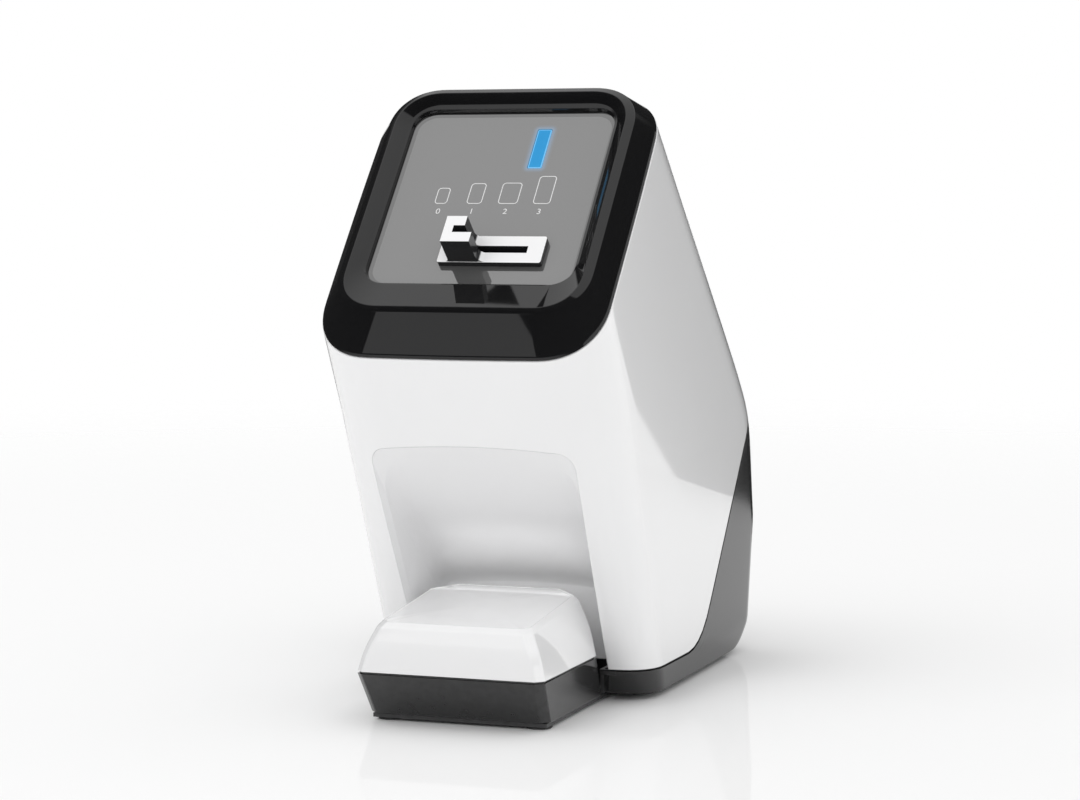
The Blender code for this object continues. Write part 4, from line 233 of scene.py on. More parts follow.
def makePanelBoxGroup():
    # distance from a round-cornered rectangle drawn on the sloping panel, negative inside it
    inputs = {"Centre": (0.0, 0.0, 0.0), "Half": (0.01, 0.01, 1.0), "Radius": 0.001}
    group, given, end = newGroup("panelBox", inputs, ("Distance",))
    flat = addNode(group, "Mapping", {
        "Vector": objectPlace(group), "Location": panelPlace.translation, "Rotation": (tilt, 0.0, 0.0),
    }, vector_type="TEXTURE")
    away = vectorNode(group, "SUBTRACT", flat.outputs[0], given["Centre"])
    beyond = vectorNode(group, "SUBTRACT", vectorNode(group, "ABSOLUTE", away), given["Half"])
    corner = addNode(group, "CombineXYZ", [given["Radius"], given["Radius"]]).outputs[0]
    grown = vectorNode(group, "ADD", beyond, corner)
    outside = vectorNode(group, "LENGTH", vectorNode(group, "MAXIMUM", grown, (0.0, 0.0, 0.0)))
    parts = addNode(group, "SeparateXYZ", [grown]).outputs
    inside = mathNode(group, "MINIMUM", mathNode(group, "MAXIMUM", parts[0], parts[1]), 0.0)
    whole = mathNode(group, "ADD", outside, inside)
    fillInputs(group, end, [mathNode(group, "SUBTRACT", whole, given["Radius"])])
    return group


mouldTexture, edgeRub = makeMouldGroup(), makeEdgeGroup()
restingDust, brushedLines = makeDustGroup(), makeBrushGroup()
facingSide, panelBox = makeFacingGroup(), makePanelBoxGroup()


def useGroup(tree, group, **values):
    inputs = {name.replace("_", " "): value for name, value in values.items()}
    return addNode(tree, "Group", inputs, node_tree=group).outputs


# Materials

dustColour = (0.6, 0.59, 0.57)
rubLightening = 0.35    # how far a rubbed edge goes towards white


def newFinish(name):
    made = bpy.data.materials.new(name)
    made.use_nodes = True
    return made, made.node_tree, made.node_tree.nodes["Principled BSDF"]


def roughNode(tree, texture, rough):
    return mathNode(tree, "ADD", texture["Gloss Shift"], rough, clamp=True)


def moulded(name, colour, rough, grain=1800.0, depth=0.02, tone=0.03, gloss=0.04, rub=0.15, dust=0.02,
            coat=0.0):
    made, tree, shader = newFinish(name)
    texture = useGroup(tree, mouldTexture, Grain_Scale=grain, Tone_Spread=tone, Gloss_Spread=gloss)
    lighter = tuple(part + (1 - part) * rubLightening for part in colour)
    edge = useGroup(tree, edgeRub, Strength=rub)["Mask"]
    rubbed = mixColours(tree, edge, scaled(tree, colour, texture["Tone"]), lighter)
    powder = useGroup(tree, restingDust, Amount=dust)["Mask"]
    fillInputs(tree, shader, {
        "Base Color": mixColours(tree, powder, rubbed, dustColour),
        "Roughness": roughNode(tree, texture, rough),
        "Coat Weight": coat,
        "Normal": bumpNode(tree, texture["Height"], depth),
    })
    return made


def brushed(name, colour, rough, depth=0.05, spread=0.12):
    made, tree, shader = newFinish(name)
    lines = useGroup(tree, brushedLines, Gloss_Spread=spread)
    texture = useGroup(tree, mouldTexture, Grain_Scale=300.0, Tone_Spread=0.08)
    fillInputs(tree, shader, {
        "Base Color": scaled(tree, colour, texture["Tone"]),
        "Roughness": roughNode(tree, lines, rough),
        "Metallic": 1.0,
        "Normal": bumpNode(tree, lines["Height"], depth, 0.05 * mm),
    })
    return made


def makeFoamFinish():
    made, tree, shader = newFinish("softFoam")
    place = objectPlace(tree)
    cells = addNode(tree, "TexVoronoi", {"Vector": place, "Scale": 1300.0}).outputs["Distance"]
    fillInputs(tree, shader, {
        "Base Color": mixColours(tree, cells, (0.012, 0.012, 0.013), (0.05, 0.05, 0.052)),
        "Roughness": 0.95,
        "Sheen Weight": 0.25,
        "Normal": bumpNode(tree, cells, 0.7, 0.3 * mm),
    })
    return made


glass = {
    "grey": (0.098, 0.098, 0.098),
    "border": (0.012, 0.012, 0.012),
    "dust": (0.5, 0.5, 0.5),
    # middle, half sizes, corner
    "area": ((0.75 * mm, 103.3 * mm, 0.0), (55.6 * mm, 58.6 * mm, 1.0), 10 * mm),
    "edge": 0.1 * mm,        # softness of the border's inner edge
    # painted glow: colour and reach of the status light's light, given off by the glass round the lens
    "paintedGlow": (0.02, 0.1, 0.2),
    "paintedGlowReach": 4.5 * mm,
}


def onPanel(node):
    # middle and half sizes of a node's box in the panel's own directions
    flat = panelPlace.inverted()
    places = np.array([flat @ vert.co for vert in nodes[node].data.vertices])
    low, high = places.min(axis=0), places.max(axis=0)
    return (low + high) / 2, (high - low) / 2


def lensBox(tree):
    (x, y, _), (halfX, halfY, _) = onPanel("status_light_lens")
    box = useGroup(tree, panelBox, Centre=(x, y, 0.0), Half=(halfX, halfY, 1.0), Radius=0.8 * mm)
    return box["Distance"]


def makeGlassFinish():
    # grey glass with a black border printed behind it, and a painted glow of the status light given off by
    # the glass itself round the lens
    made, tree, shader = newFinish("greyGlass")
    texture = useGroup(tree, mouldTexture, Grain_Scale=9.0, Tone_Spread=0.05, Gloss_Spread=0.02)
    powder = useGroup(tree, restingDust, Amount=0.015, Speck_Scale=1500.0)["Mask"]
    dusted = mixColours(tree, powder, scaled(tree, glass["grey"], texture["Tone"]), glass["dust"])
    centre, half, radius = glass["area"]
    area = useGroup(tree, panelBox, Centre=centre, Half=half, Radius=radius)["Distance"]
    printed = rampNode(tree, area, -glass["edge"], glass["edge"], 1.0, 0.0)
    # painted glow: the glass emits, fading with distance from the lens
    near = rampNode(tree, lensBox(tree), 0.0, glass["paintedGlowReach"], 1.0, 0.0)
    paintedGlowFade = mathNode(tree, "POWER", near, 2.0)
    fillInputs(tree, shader, {
        "Base Color": mixColours(tree, printed, glass["border"], dusted),
        "Emission Color": mixColours(tree, paintedGlowFade, (0.0, 0.0, 0.0), glass["paintedGlow"]),
        "Emission Strength": 1.0,
        "Roughness": roughNode(tree, texture, 0.03),
        "Specular IOR Level": 1.0,
        "IOR": 1.9,
    })
    return made


def makeLightFinish():
    # a cloudy blue that shines through, with a lighter rim
    made, tree, shader = newFinish("blueLens")
    blue = mixColours(tree, noiseNode(tree, 60.0, 2.0), (0.018, 0.215, 0.46), (0.026, 0.26, 0.54))
    rim = rampNode(tree, lensBox(tree), -0.75 * mm, -0.45 * mm)
    rimmed = mixColours(tree, rim, blue, (0.16, 0.45, 0.72))
    fillInputs(tree, shader, {
        "Base Color": rimmed, "Emission Color": rimmed, "Emission Strength": 0.35,
        "Roughness": 0.35, "Specular IOR Level": 0.15,
    })
    return made


def makeBoardFinish():
    made, tree, shader = newFinish("circuitGreen")
    turned = addNode(tree, "Mapping", {"Vector": objectPlace(tree), "Rotation": (0, math.pi / 2, 0)})
    tracks = addNode(tree, "TexBrick", {
        "Vector": turned.outputs[0], "Scale": 240.0, "Mortar Size": 0.03,
        "Color1": (0.012, 0.12, 0.05), "Color2": (0.018, 0.15, 0.065), "Mortar": (0.05, 0.26, 0.12),
    }).outputs
    fillInputs(tree, shader, {
        "Base Color": tracks["Color"],
        "Roughness": 0.4,
        "Normal": bumpNode(tree, tracks["Fac"], 0.3, 0.05 * mm),
    })
    return made


def makeAcrylicFinish():
    made, tree, shader = newFinish("clearAcrylic")
    texture = useGroup(tree, mouldTexture, Grain_Scale=40.0, Tone_Spread=0.04, Gloss_Spread=0.03)
    fillInputs(tree, shader, {
        "Base Color": scaled(tree, (0.8, 0.87, 0.9), texture["Tone"]),
        "Roughness": roughNode(tree, texture, 0.06),
        "Transmission Weight": 0.85,
        "IOR": 1.49,
    })
    return made


def makeGuidePaintedShadeFinish():
    # white where it faces out of the panel; its sides and its slot are darkened as painted shade
    made, tree, shader = newFinish("guidePaintedShade")
    texture = useGroup(tree, mouldTexture, Tone_Spread=0.02, Gloss_Spread=0.03)
    outward = (0.0, -math.sin(tilt), math.cos(tilt))
    face = useGroup(tree, facingSide, Direction=outward, Low=0.62, High=0.8)["Mask"]
    # painted shade: the dark colour goes on every face that does not face out of the panel
    both = mixColours(tree, face, (0.02, 0.02, 0.021), (0.9, 0.9, 0.905))
    fillInputs(tree, shader, {
        "Base Color": scaled(tree, both, texture["Tone"]),
        "Roughness": roughNode(tree, texture, 0.22),
        "Normal": bumpNode(tree, texture["Height"], 0.02),
    })
    return made


white, grey, black = (0.88, 0.88, 0.885), (0.014, 0.014, 0.0145), (0.006, 0.006, 0.0065)
finishes = {
    "white_plastic": moulded("whitePlastic", white, 0.2, depth=0.01, tone=0.01, rub=0.0, coat=1.0),
    "gloss_black": moulded("glossBlack", black, 0.03, depth=0.002, gloss=0.01, rub=0.05, dust=0.01),
    "dark_grey": moulded("darkGrey", grey, 0.13, grain=2600.0, depth=0.05, tone=0.12),
    "rubber": moulded("footRubber", (0.022, 0.022, 0.022), 0.75, grain=1400.0, depth=0.4, tone=0.2),
    "black_plastic": moulded("blackPlastic", (0.02, 0.02, 0.022), 0.42, grain=2200.0, depth=0.25, tone=0.15),
    "white_gear": moulded("gearPlastic", (0.78, 0.77, 0.72), 0.38, depth=0.05, tone=0.06),
    "sheet_steel": brushed("sheetSteel", (0.56, 0.57, 0.59), 0.34),
    "bright_steel": brushed("groundSteel", (0.68, 0.68, 0.7), 0.18, depth=0.03, spread=0.08),
    "mirror_silver": brushed("polishedFacet", (0.9, 0.9, 0.92), 0.03, depth=0.005, spread=0.02),
    "soft_foam": makeFoamFinish(),
    "grey_glass": makeGlassFinish(),
    "light_blue": makeLightFinish(),
    "board_green": makeBoardFinish(),
    "clear_acrylic": makeAcrylicFinish(),
}
# the inlet guide's finish, with painted shade on its sides and in its slot
guidePaintedShade = makeGuidePaintedShadeFinish()
printInk = moulded("printInk", (0.78, 0.78, 0.78), 0.4, tone=0.04, rub=0.0)
pocketWhite = moulded("pocketWhite", white, 0.55, grain=2400.0, depth=0.05, tone=0.015, rub=0.0)
print("materials ready")


# Helpers that make pieces

def plainObject(name, bm):
    # the bmesh is used up
    mesh = bpy.data.meshes.new(name)
    bm.to_mesh(mesh)
    bm.free()
    made = bpy.data.objects.new(name, mesh)
    bpy.context.scene.collection.objects.link(made)
    return made


def smoothOver(piece, sharpAt=32):
    # from sharpAt degrees between two faces their edge stays sharp
    piece.data.shade_smooth()
    piece.data.set_sharp_from_angle(angle=math.radians(sharpAt))


def addPiece(name, bm, slot, rides, stands=(), finish=None, sharpAt=32):
    made = plainObject(name, bm)
    smoothOver(made, sharpAt)
    made.data.materials.append(finish or finishes[slot])
    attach(made, rides)
    if stands:
        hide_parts(*stands)
    return made


def evenNormals(piece):
    # large faces keep their own direction beside cut edges
    weighted = piece.modifiers.new("evenNormals", "WEIGHTED_NORMAL")
    weighted.keep_sharp = True
    weighted.weight = 80


def roundEdges(piece, width):
    soft = piece.modifiers.new("roundEdges", "BEVEL")
    soft.width, soft.segments = width, 2
    soft.limit_method, soft.angle_limit = "ANGLE", math.radians(28)
    soft.harden_normals = False
    evenNormals(piece)


def skinRings(rings, joined=False):
    # a ring of points is extruded from place to place; joined closes the skin on itself
    bm = bmesh.new()
    ring = bmesh.ops.create_circle(bm, segments=len(rings[0]), radius=1.0)["verts"]
    for vert, place in zip(ring, rings[0]):
        vert.co = place
    first = ring
    for places in rings[1:] + ([rings[0]] if joined else []):
        edges = [bm.edges.get((ring[i - 1], ring[i])) for i in range(len(ring))]
        made = bmesh.ops.extrude_edge_only(bm, edges=edges)["geom"]
        fresh = {item for item in made if isinstance(item, bmesh.types.BMVert)}
        ring = [next(e.other_vert(v) for e in v.link_edges if e.other_vert(v) in fresh) for v in ring]
        for vert, place in zip(ring, places):
            vert.co = place
    if joined:
        bmesh.ops.remove_doubles(bm, verts=first + ring, dist=0.001 * mm)
    else:
        bm.faces.new(first)
        bm.faces.new(ring)
    bmesh.ops.recalc_face_normals(bm, faces=bm.faces)
    return bm


def curvePoint(t, start, middle, end):
    return (1 - t) ** 2 * start + 2 * t * (1 - t) * middle + t**2 * end


def softRings(pairs, steps=3):
    # rounds the profile of a skin at each ring that comes with a width in mm
    made = []
    for k, (ring, width) in enumerate(pairs):
        if not width:
            made.append(ring)
            continue
        ends = []
        for other in (pairs[k - 1][0], pairs[(k + 1) % len(pairs)][0]):
            leg = other - ring
            length = np.linalg.norm(leg, axis=1, keepdims=True)
            ends.append(ring + leg / length * np.minimum(width * mm, 0.45 * length))
        made += [curvePoint(t, ends[0], ring, ends[1]) for t in np.linspace(0, 1, steps + 1)]
    return made


def evaluatedMesh(holder):
    bpy.context.view_layer.update()
    graph = bpy.context.evaluated_depsgraph_get()
    return bpy.data.meshes.new_from_object(holder.evaluated_get(graph))


def carve(piece, *cutters, operation="DIFFERENCE"):
    # cutters are bmeshes that are used up
    for number, cutter in enumerate(cutters):
        other = plainObject(f"cutter{number}", cutter)
        step = piece.modifiers.new("carve", "BOOLEAN")
        step.operation, step.solver, step.object = operation, "EXACT", other
        made = evaluatedMesh(piece)
        old, piece.data = piece.data, made
        piece.modifiers.clear()
        bpy.data.meshes.remove(old)
        used = other.data
        bpy.data.objects.remove(other)
        bpy.data.meshes.remove(used)
    smoothOver(piece)


def mergeInto(whole, bm):
    # the bmesh is used up
    mesh = bpy.data.meshes.new("part")
    bm.to_mesh(mesh)
    bm.free()
    whole.from_mesh(mesh)
    bpy.data.meshes.remove(mesh)


def boxShape(size, centre):
    bm = bmesh.new()
    shape = Matrix.Translation(centre) @ Matrix.Diagonal((*size, 1.0))
    bmesh.ops.create_cube(bm, size=1.0, matrix=shape)
    return bm


def rodShape(radius, length, place):
    bm = bmesh.new()
    bmesh.ops.create_cone(bm, cap_ends=True, segments=20, radius1=radius, radius2=radius, depth=length,
                          matrix=place)
    return bm


def mergedCopy(node):
    bm = bmesh.new()
    bm.from_mesh(nodes[node].data)
    bmesh.ops.remove_doubles(bm, verts=bm.verts, dist=0.002 * mm)
    bmesh.ops.dissolve_limit(bm, angle_limit=math.radians(1), verts=bm.verts, edges=bm.edges)
    return bm


# The body's outlines

def shareBetween(low, high, value):
    return np.clip((value - low) / (high - low), 0, 1)


def halfSamples():
    # (stretch, share) of each point of half an outline, from mid-front to mid-rear
    counts = (6, 16, 18, 16, 6)    # front, corner, side, corner, rear
    rows = [(stretch, i / count) for stretch, count in enumerate(counts) for i in range(count)]
    return np.array(rows + [(4, 1.0)])


samples = halfSamples()
cornerShape = 2 / body["cornerPower"]


def roundedHalf(halfWidth, start, end, first, last):
    # first and last are the (across, along) reach of the two corners
    stretch, share = samples.T
    turn = np.where(stretch == 3, 1 - share, share) * math.pi / 2
    across = np.sin(turn) ** cornerShape
    along = 1 - np.maximum(np.cos(turn), 0) ** cornerShape
    low, high = start + first[1], end - last[1]
    spans = [stretch == number for number in range(4)]
    x = np.select(spans, [
        (halfWidth - first[0]) * share, halfWidth - first[0] * (1 - across), halfWidth + 0 * share,
        halfWidth - last[0] * (1 - across),
    ], (halfWidth - last[0]) * (1 - share))
    y = np.select(spans, [
        start + 0 * share, start + first[1] * along, low + (high - low) * share, end - last[1] * along,
    ], end + 0 * share)
    return x, y


def fullRing(x, y, z):
    half = np.stack([x, y + 0 * x, z + 0 * x], axis=1)
    return np.concatenate([half, half[-2:0:-1] * (-1, 1, 1)])


def panelToSide(along, depth):
    y = along * math.cos(tilt) + depth * math.sin(tilt)
    z = body["foldHeight"] + along * math.sin(tilt) - depth * math.cos(tilt)
    return y, z


def frontY(z):
    y = (body["foldHeight"] - z) * math.tan(lean)
    return y + np.maximum(body["seamHeight"] - z, 0) * math.tan(body["bandUndercut"])


def rearY(z):
    topY, topZ = panelToSide(body["panelLength"], 0)
    slope = topY + (topZ - z) * math.tan(tilt)
    wall = body["depth"] - np.maximum(body["rearStraight"] - z, 0) * math.tan(body["rearLean"])
    near, far = np.minimum(slope, wall), np.maximum(slope, wall)
    return near - body["rearBlend"] * np.log1p(np.exp((near - far) / body["rearBlend"]))


def frontCornerAt(z):
    foot, top = body["frontCorner"]
    return foot + (top - foot) * shareBetween(*body["frontCornerAt"], z)


def bodyPoints(z, inset=0.0):
    step = 0.001 * mm
    rear = rearY(z) - inset * np.hypot(1, (rearY(z + step) - rearY(z - step)) / (2 * step))
    radius = body["rearFootRadius"] - inset
    below = np.maximum(radius - (z - body["bottom"] - inset), 0)
    rear = rear - (radius - np.sqrt(np.maximum(radius**2 - below**2, 0)))
    band = shareBetween(body["bottom"], body["seamHeight"], z)
    wide = body["halfWidth"] - inset - body["bandTaper"] * (1 - band)
    corner = frontCornerAt(z) - inset
    sloped = shareBetween(body["rearStraight"], body["frontCornerAt"][1], z)
    low, high = body["backCorner"]
    across = low + (high - low) * sloped - inset
    along = across * (1 + sloped * (body["backCornerStretch"] / math.cos(tilt) - 1))
    front = frontY(z) + inset / math.cos(lean)
    x, y = roundedHalf(wide, front, rear, (corner, corner / math.cos(lean)), (across, along))
    acrossShare = x / wide
    alongShare = (2 * y - front - rear) / (rear - front)
    crown = np.where(alongShare < 0, body["frontCrown"], -body["backCrown"] * sloped)
    return x - body["sideBulge"] * acrossShare * alongShare**2, y + crown * acrossShare**2


def panelRise(y, z):
    return (z - body["foldHeight"]) * math.cos(tilt) - y * math.sin(tilt)


def seamRise(y, z):
    # how far a place is inside the shell's lower seam: flat in front, then a bend, then a slope
    depth, height, radius = body["seamDepth"], body["seamHeight"], body["seamRadius"]
    fall = (body["foldHeight"] - height - depth * math.cos(tilt)) / math.sin(tilt)
    centreY = panelToSide(-fall, depth)[0] - radius * math.tan(tilt / 2)
    centreZ = height + radius
    angle = np.arctan2(y - centreY, centreZ - z)
    bend = radius - np.hypot(y - centreY, z - centreZ)
    return np.where(angle < 0, z - height, np.where(angle > tilt, depth + panelRise(y, z), bend))


def heightsWhere(rise, target, inset=0.0):
    # the interval from the foot to well above the body is halved 40 times
    low = np.full(len(samples), body["bottom"] + inset)
    high = np.full(len(samples), 400 * mm)
    for _ in range(40):
        middle = (low + high) / 2
        over = rise(bodyPoints(middle, inset)[1], middle) > target
        low, high = np.where(over, low, middle), np.where(over, middle, high)
    return low


def bodyRing(z, inset=0.0):
    x, y = bodyPoints(z + np.zeros(len(samples)), inset)
    return fullRing(x, y + foldY, z)


def ringWhere(rise, target, inset):
    return bodyRing(heightsWhere(rise, target, inset), inset)


def levels(low, high, count, inset=0.0):
    return [bodyRing(low + (high - low) * t, inset) for t in np.linspace(0, 1, count)]


def roundedEdge(rise, edge, sign, turns):
    # rings round the outer edge of a skin that ends where rise is nothing
    return [ringWhere(rise, sign * edge * (1 - math.sin(turn)), edge * (1 - math.cos(turn)))
            for turn in turns]


quarter = [math.pi / 2 * i / 4 for i in (1, 2, 3, 4)]


# Front shell

frontShell = {
    "edge": 0.5 * mm,
    "outerLevels": 30,
    "innerLevels": 10,
    "openingEdge": 0.7 * mm,
    "cutReach": 12 * mm,       # how far the opening's cut goes to both sides of the front face
}

pocket = {
    "halfWidth": 55.0 * mm,
    "footHalfWidth": 52.0 * mm,
    "foot": 5 * mm,
    "top": 143.4 * mm,
    "rearY": 126 * mm,
    "rearTop": 61 * mm,
    "crown": 3.2 * mm,
    "corner": 10 * mm,
    "wall": 2 * mm,
    "openingHalfWidth": 57 * mm,
    "openingFootHalfWidth": 53.6 * mm,
    "openingFoot": -21 * mm,
    "openingRise": 0.9 * mm,
    "archSteps": (8, 14, 12),    # points along half the crown, a corner and a leg
    "scoopRaise": 1.1 * mm,      # lets the scoop start at the opening's top edge
    "lipGap": 0.02 * mm,
    "lipOuter": 0.5 * mm,        # how far back the lip's outer and inner edges are
    "lipInner": 5 * mm,
    "rearEdge": 4 * mm,
    "rearEdgeShare": 0.6,        # the rear edge turns in by this share of its depth
    "mouth": (-9.75 * mm, 23 * mm, 38 * mm, 48.5 * mm),    # left, right, bottom, top
    "mouthCut": 40 * mm,
    "footCut": (200 * mm, 400 * mm, 40 * mm),
}


def frontSurfaceY(x, z):
    band = shareBetween(body["bottom"], body["seamHeight"], z)
    wide = body["halfWidth"] - body["bandTaper"] * (1 - band)
    corner = frontCornerAt(z)
    beyond = np.clip((np.abs(x) - (wide - corner)) / corner, 0, 1)
    cosine = np.sqrt(1 - beyond ** body["cornerPower"])
    y = frontY(z) + corner / math.cos(lean) * (1 - cosine**cornerShape)
    return y + body["frontCrown"] * (x / wide) ** 2


def frontRing(x, z, setback):
    return np.stack([x, frontSurfaceY(x, z) + setback / math.cos(lean) + foldY, z], axis=1)


def archPoints(halfWidth, footHalfWidth, top, foot, grow):
    # (x, z) from the crown down the right leg, then back up the left one
    crownSteps, cornerSteps, legSteps = pocket["archSteps"]
    wide, corner = halfWidth + grow, pocket["corner"] + grow
    xs = [(wide - corner) * i / crownSteps for i in range(crownSteps + 1)]
    zs = [top + grow - pocket["crown"] * (x / wide) ** 2 for x in xs]
    cornerTop = zs[-1]
    for i in range(1, cornerSteps + 1):
        turn = math.pi / 2 * i / cornerSteps
        xs.append(wide - corner + corner * math.sin(turn) ** cornerShape)
        zs.append(cornerTop - corner * (1 - max(math.cos(turn), 0) ** cornerShape))
    lowX, startX, startZ = footHalfWidth + grow, xs[-1], zs[-1]
    for i in range(1, legSteps + 1):
        xs.append(startX + (lowX - startX) * i / legSteps)
        zs.append(startZ + (foot - startZ) * i / legSteps)
    x, z = np.array(xs), np.array(zs)
    return np.concatenate([x, -x[:0:-1]]), np.concatenate([z, z[:0:-1]])


def openingRings(sets, edge):
    # rings of the arched opening that follow the front face and flare towards it over the edge
    p = pocket
    made = []
    for setback in sets:
        flare = edge - math.sqrt(edge**2 - max(edge - max(setback, 0), 0) ** 2)
        x, z = archPoints(p["openingHalfWidth"], p["openingFootHalfWidth"], p["top"] + p["openingRise"],
                          p["openingFoot"], flare)
        made.append(frontRing(x, z, setback))
    return made


def makeFrontShell():
    edge, wall = frontShell["edge"], body["wall"]
    low, high = heightsWhere(seamRise, edge), heightsWhere(panelRise, -edge)
    rings = levels(low, high, frontShell["outerLevels"])
    rings += roundedEdge(panelRise, edge, -1, quarter)
    top, foot = heightsWhere(panelRise, 0, wall), heightsWhere(seamRise, 0, wall)
    rings += levels(top, foot, frontShell["innerLevels"], wall)
    rings += roundedEdge(seamRise, edge, 1, quarter[::-1])
    made = addPiece("frontShell", skinRings(rings, True), "white_plastic", "housing", ("front_shell",))
    edge, reach = frontShell["openingEdge"], frontShell["cutReach"]
    sets = [-reach, 0.0] + [edge * (1 - math.cos(turn)) for turn in quarter] + [reach]
    carve(made, skinRings(openingRings(sets, edge)))
    evenNormals(made)


makeFrontShell()
print("front shell made")


# Pocket behind the opening

def scoopTop(y):
    front = float(frontY(pocket["top"]))
    fall = (y - front) * (pocket["top"] - pocket["rearTop"]) / (pocket["rearY"] - front)
    return pocket["top"] + pocket["scoopRaise"] - fall


def scoopOutline(top, grow):
    return archPoints(pocket["halfWidth"], pocket["footHalfWidth"], top, pocket["foot"], grow)


def scoopRing(y, grow):
    x, z = scoopOutline(scoopTop(y), grow)
    return np.stack([x, 0 * x + y + foldY, z], axis=1)


def slantedRing(setback, grow):
    # the scoop's outline where it meets a surface that runs behind the front face
    low, high = pocket["rearTop"], pocket["top"]
    (x, lowZ), (_, highZ) = scoopOutline(low, grow), scoopOutline(high, grow)
    y = np.full(len(x), float(frontY(high)))
    for _ in range(16):
        z = lowZ + (highZ - lowZ) * (scoopTop(y) - low) / (high - low)
        y = frontSurfaceY(x, z) + setback / math.cos(lean)
    return np.stack([x, y + foldY, z], axis=1)


def lipRing(setback):
    # the opening's outline, cut off at the pocket's foot
    p = pocket
    high, low = p["openingHalfWidth"], p["openingFootHalfWidth"]
    leg = p["top"] - p["corner"] - p["openingFoot"]
    wide = low + (high - low) * (p["foot"] - p["openingFoot"]) / leg
    x, z = archPoints(high, wide, p["top"] + p["openingRise"], p["foot"], -p["lipGap"])
    return frontRing(x, z, setback)


def makePocketSkin():
    gap, wall, turned = body["gap"], pocket["wall"], pocket["rearEdge"]
    rear, back = pocket["rearY"] + wall, body["wall"] + gap + wall
    soft = softRings([
        (scoopRing(rear, wall), 0),
        (slantedRing(back, wall), 0),
        (lipRing(back), 0),
        (lipRing(pocket["lipOuter"]), 0.3),
        (slantedRing(pocket["lipInner"], 0.0), 1.0),
        (scoopRing(pocket["rearY"] - turned, 0.0), 0),
    ], 4)
    for turn in quarter:
        shrink = turned * (1 - math.cos(turn)) * pocket["rearEdgeShare"]
        soft.append(scoopRing(pocket["rearY"] - turned * (1 - math.sin(turn)), -shrink))
    made = addPiece("pocketSkin", skinRings(soft), "white_plastic", "housing", ("pocket_liner",), pocketWhite)
    left, right, bottom, top = pocket["mouth"]
    cut = pocket["footCut"]
    carve(made, boxShape(cut, (0, 0, body["seamHeight"] + gap - cut[2] / 2)),
          boxShape((right - left, pocket["mouthCut"], top - bottom),
                   ((left + right) / 2, rear + foldY, (bottom + top) / 2)))
    evenNormals(made)


makePocketSkin()
print("pocket made")


# Rear cover

rearCover = {
    "chamfer": 0.15 * mm,
    "groove": (0.8 * mm, 0.9 * mm),    # height and depth of the dark line under the front shell
    "levels": (8, 22),                 # in the foot's rounding, above it
    "footShare": 0.6,                  # the rounding's largest share of the height
    "channelHalfWidth": 49.5 * mm,
    "channelStart": 3 * mm,            # behind the front face
    "channelRearY": 126 * mm,
    "channelWall": 2 * mm,
    "channelCut": 80 * mm,
    "basePlate": (56 * mm, 138 * mm, 250 * mm, 16 * mm),    # half width, front, rear, corner
    "port": (42 * mm, 27 * mm, 55 * mm),                    # half width, bottom, top
    "vents": 7,
    "ventPitch": 5.8 * mm,
    "ventHeight": 2.8 * mm,
    "ventHalfWidth": 20 * mm,
    "ventMiddle": 94 * mm,
    "ventCorner": 0.45,                # share of the vent's height
    "screws": [(63 * mm, 140 * mm), (36 * mm, 283 * mm)],
    "screwHole": 1.8 * mm,
    "through": 40 * mm,                # length of what cuts the walls
}


def roundedSlab(left, right, low, high, corner, thickness, place, steps):
    # a plate with round corners in the place's XY, centred on its z = 0
    bm = bmesh.new()
    centre = ((left + right) / 2, (low + high) / 2, -thickness / 2)
    size = Matrix.Diagonal((right - left, high - low, 1.0, 1.0))
    bmesh.ops.create_grid(bm, x_segments=1, y_segments=1, size=0.5, matrix=Matrix.Translation(centre) @ size)
    bmesh.ops.bevel(bm, geom=list(bm.verts), offset=corner, affect="VERTICES", segments=steps, profile=0.5,
                    material=-1)
    made = bmesh.ops.extrude_face_region(bm, geom=list(bm.faces))["geom"]
    moved = [item for item in made if isinstance(item, bmesh.types.BMVert)]
    bmesh.ops.translate(bm, verts=moved, vec=(0, 0, thickness))
    bmesh.ops.transform(bm, matrix=place, verts=bm.verts)
    bmesh.ops.recalc_face_normals(bm, faces=bm.faces)
    return bm


def coverLevels(top, floor, inset):
    # levels close together where the foot is round, then even up to the seam
    turns, count = rearCover["levels"]
    rounding = np.minimum(body["rearFootRadius"] - inset, rearCover["footShare"] * (top - floor))
    made = [floor + rounding * (1 - math.cos(math.pi / 2 * i / turns)) for i in range(turns)]
    return made + [floor + rounding + (top - floor - rounding) * t for t in np.linspace(0, 1, count)]


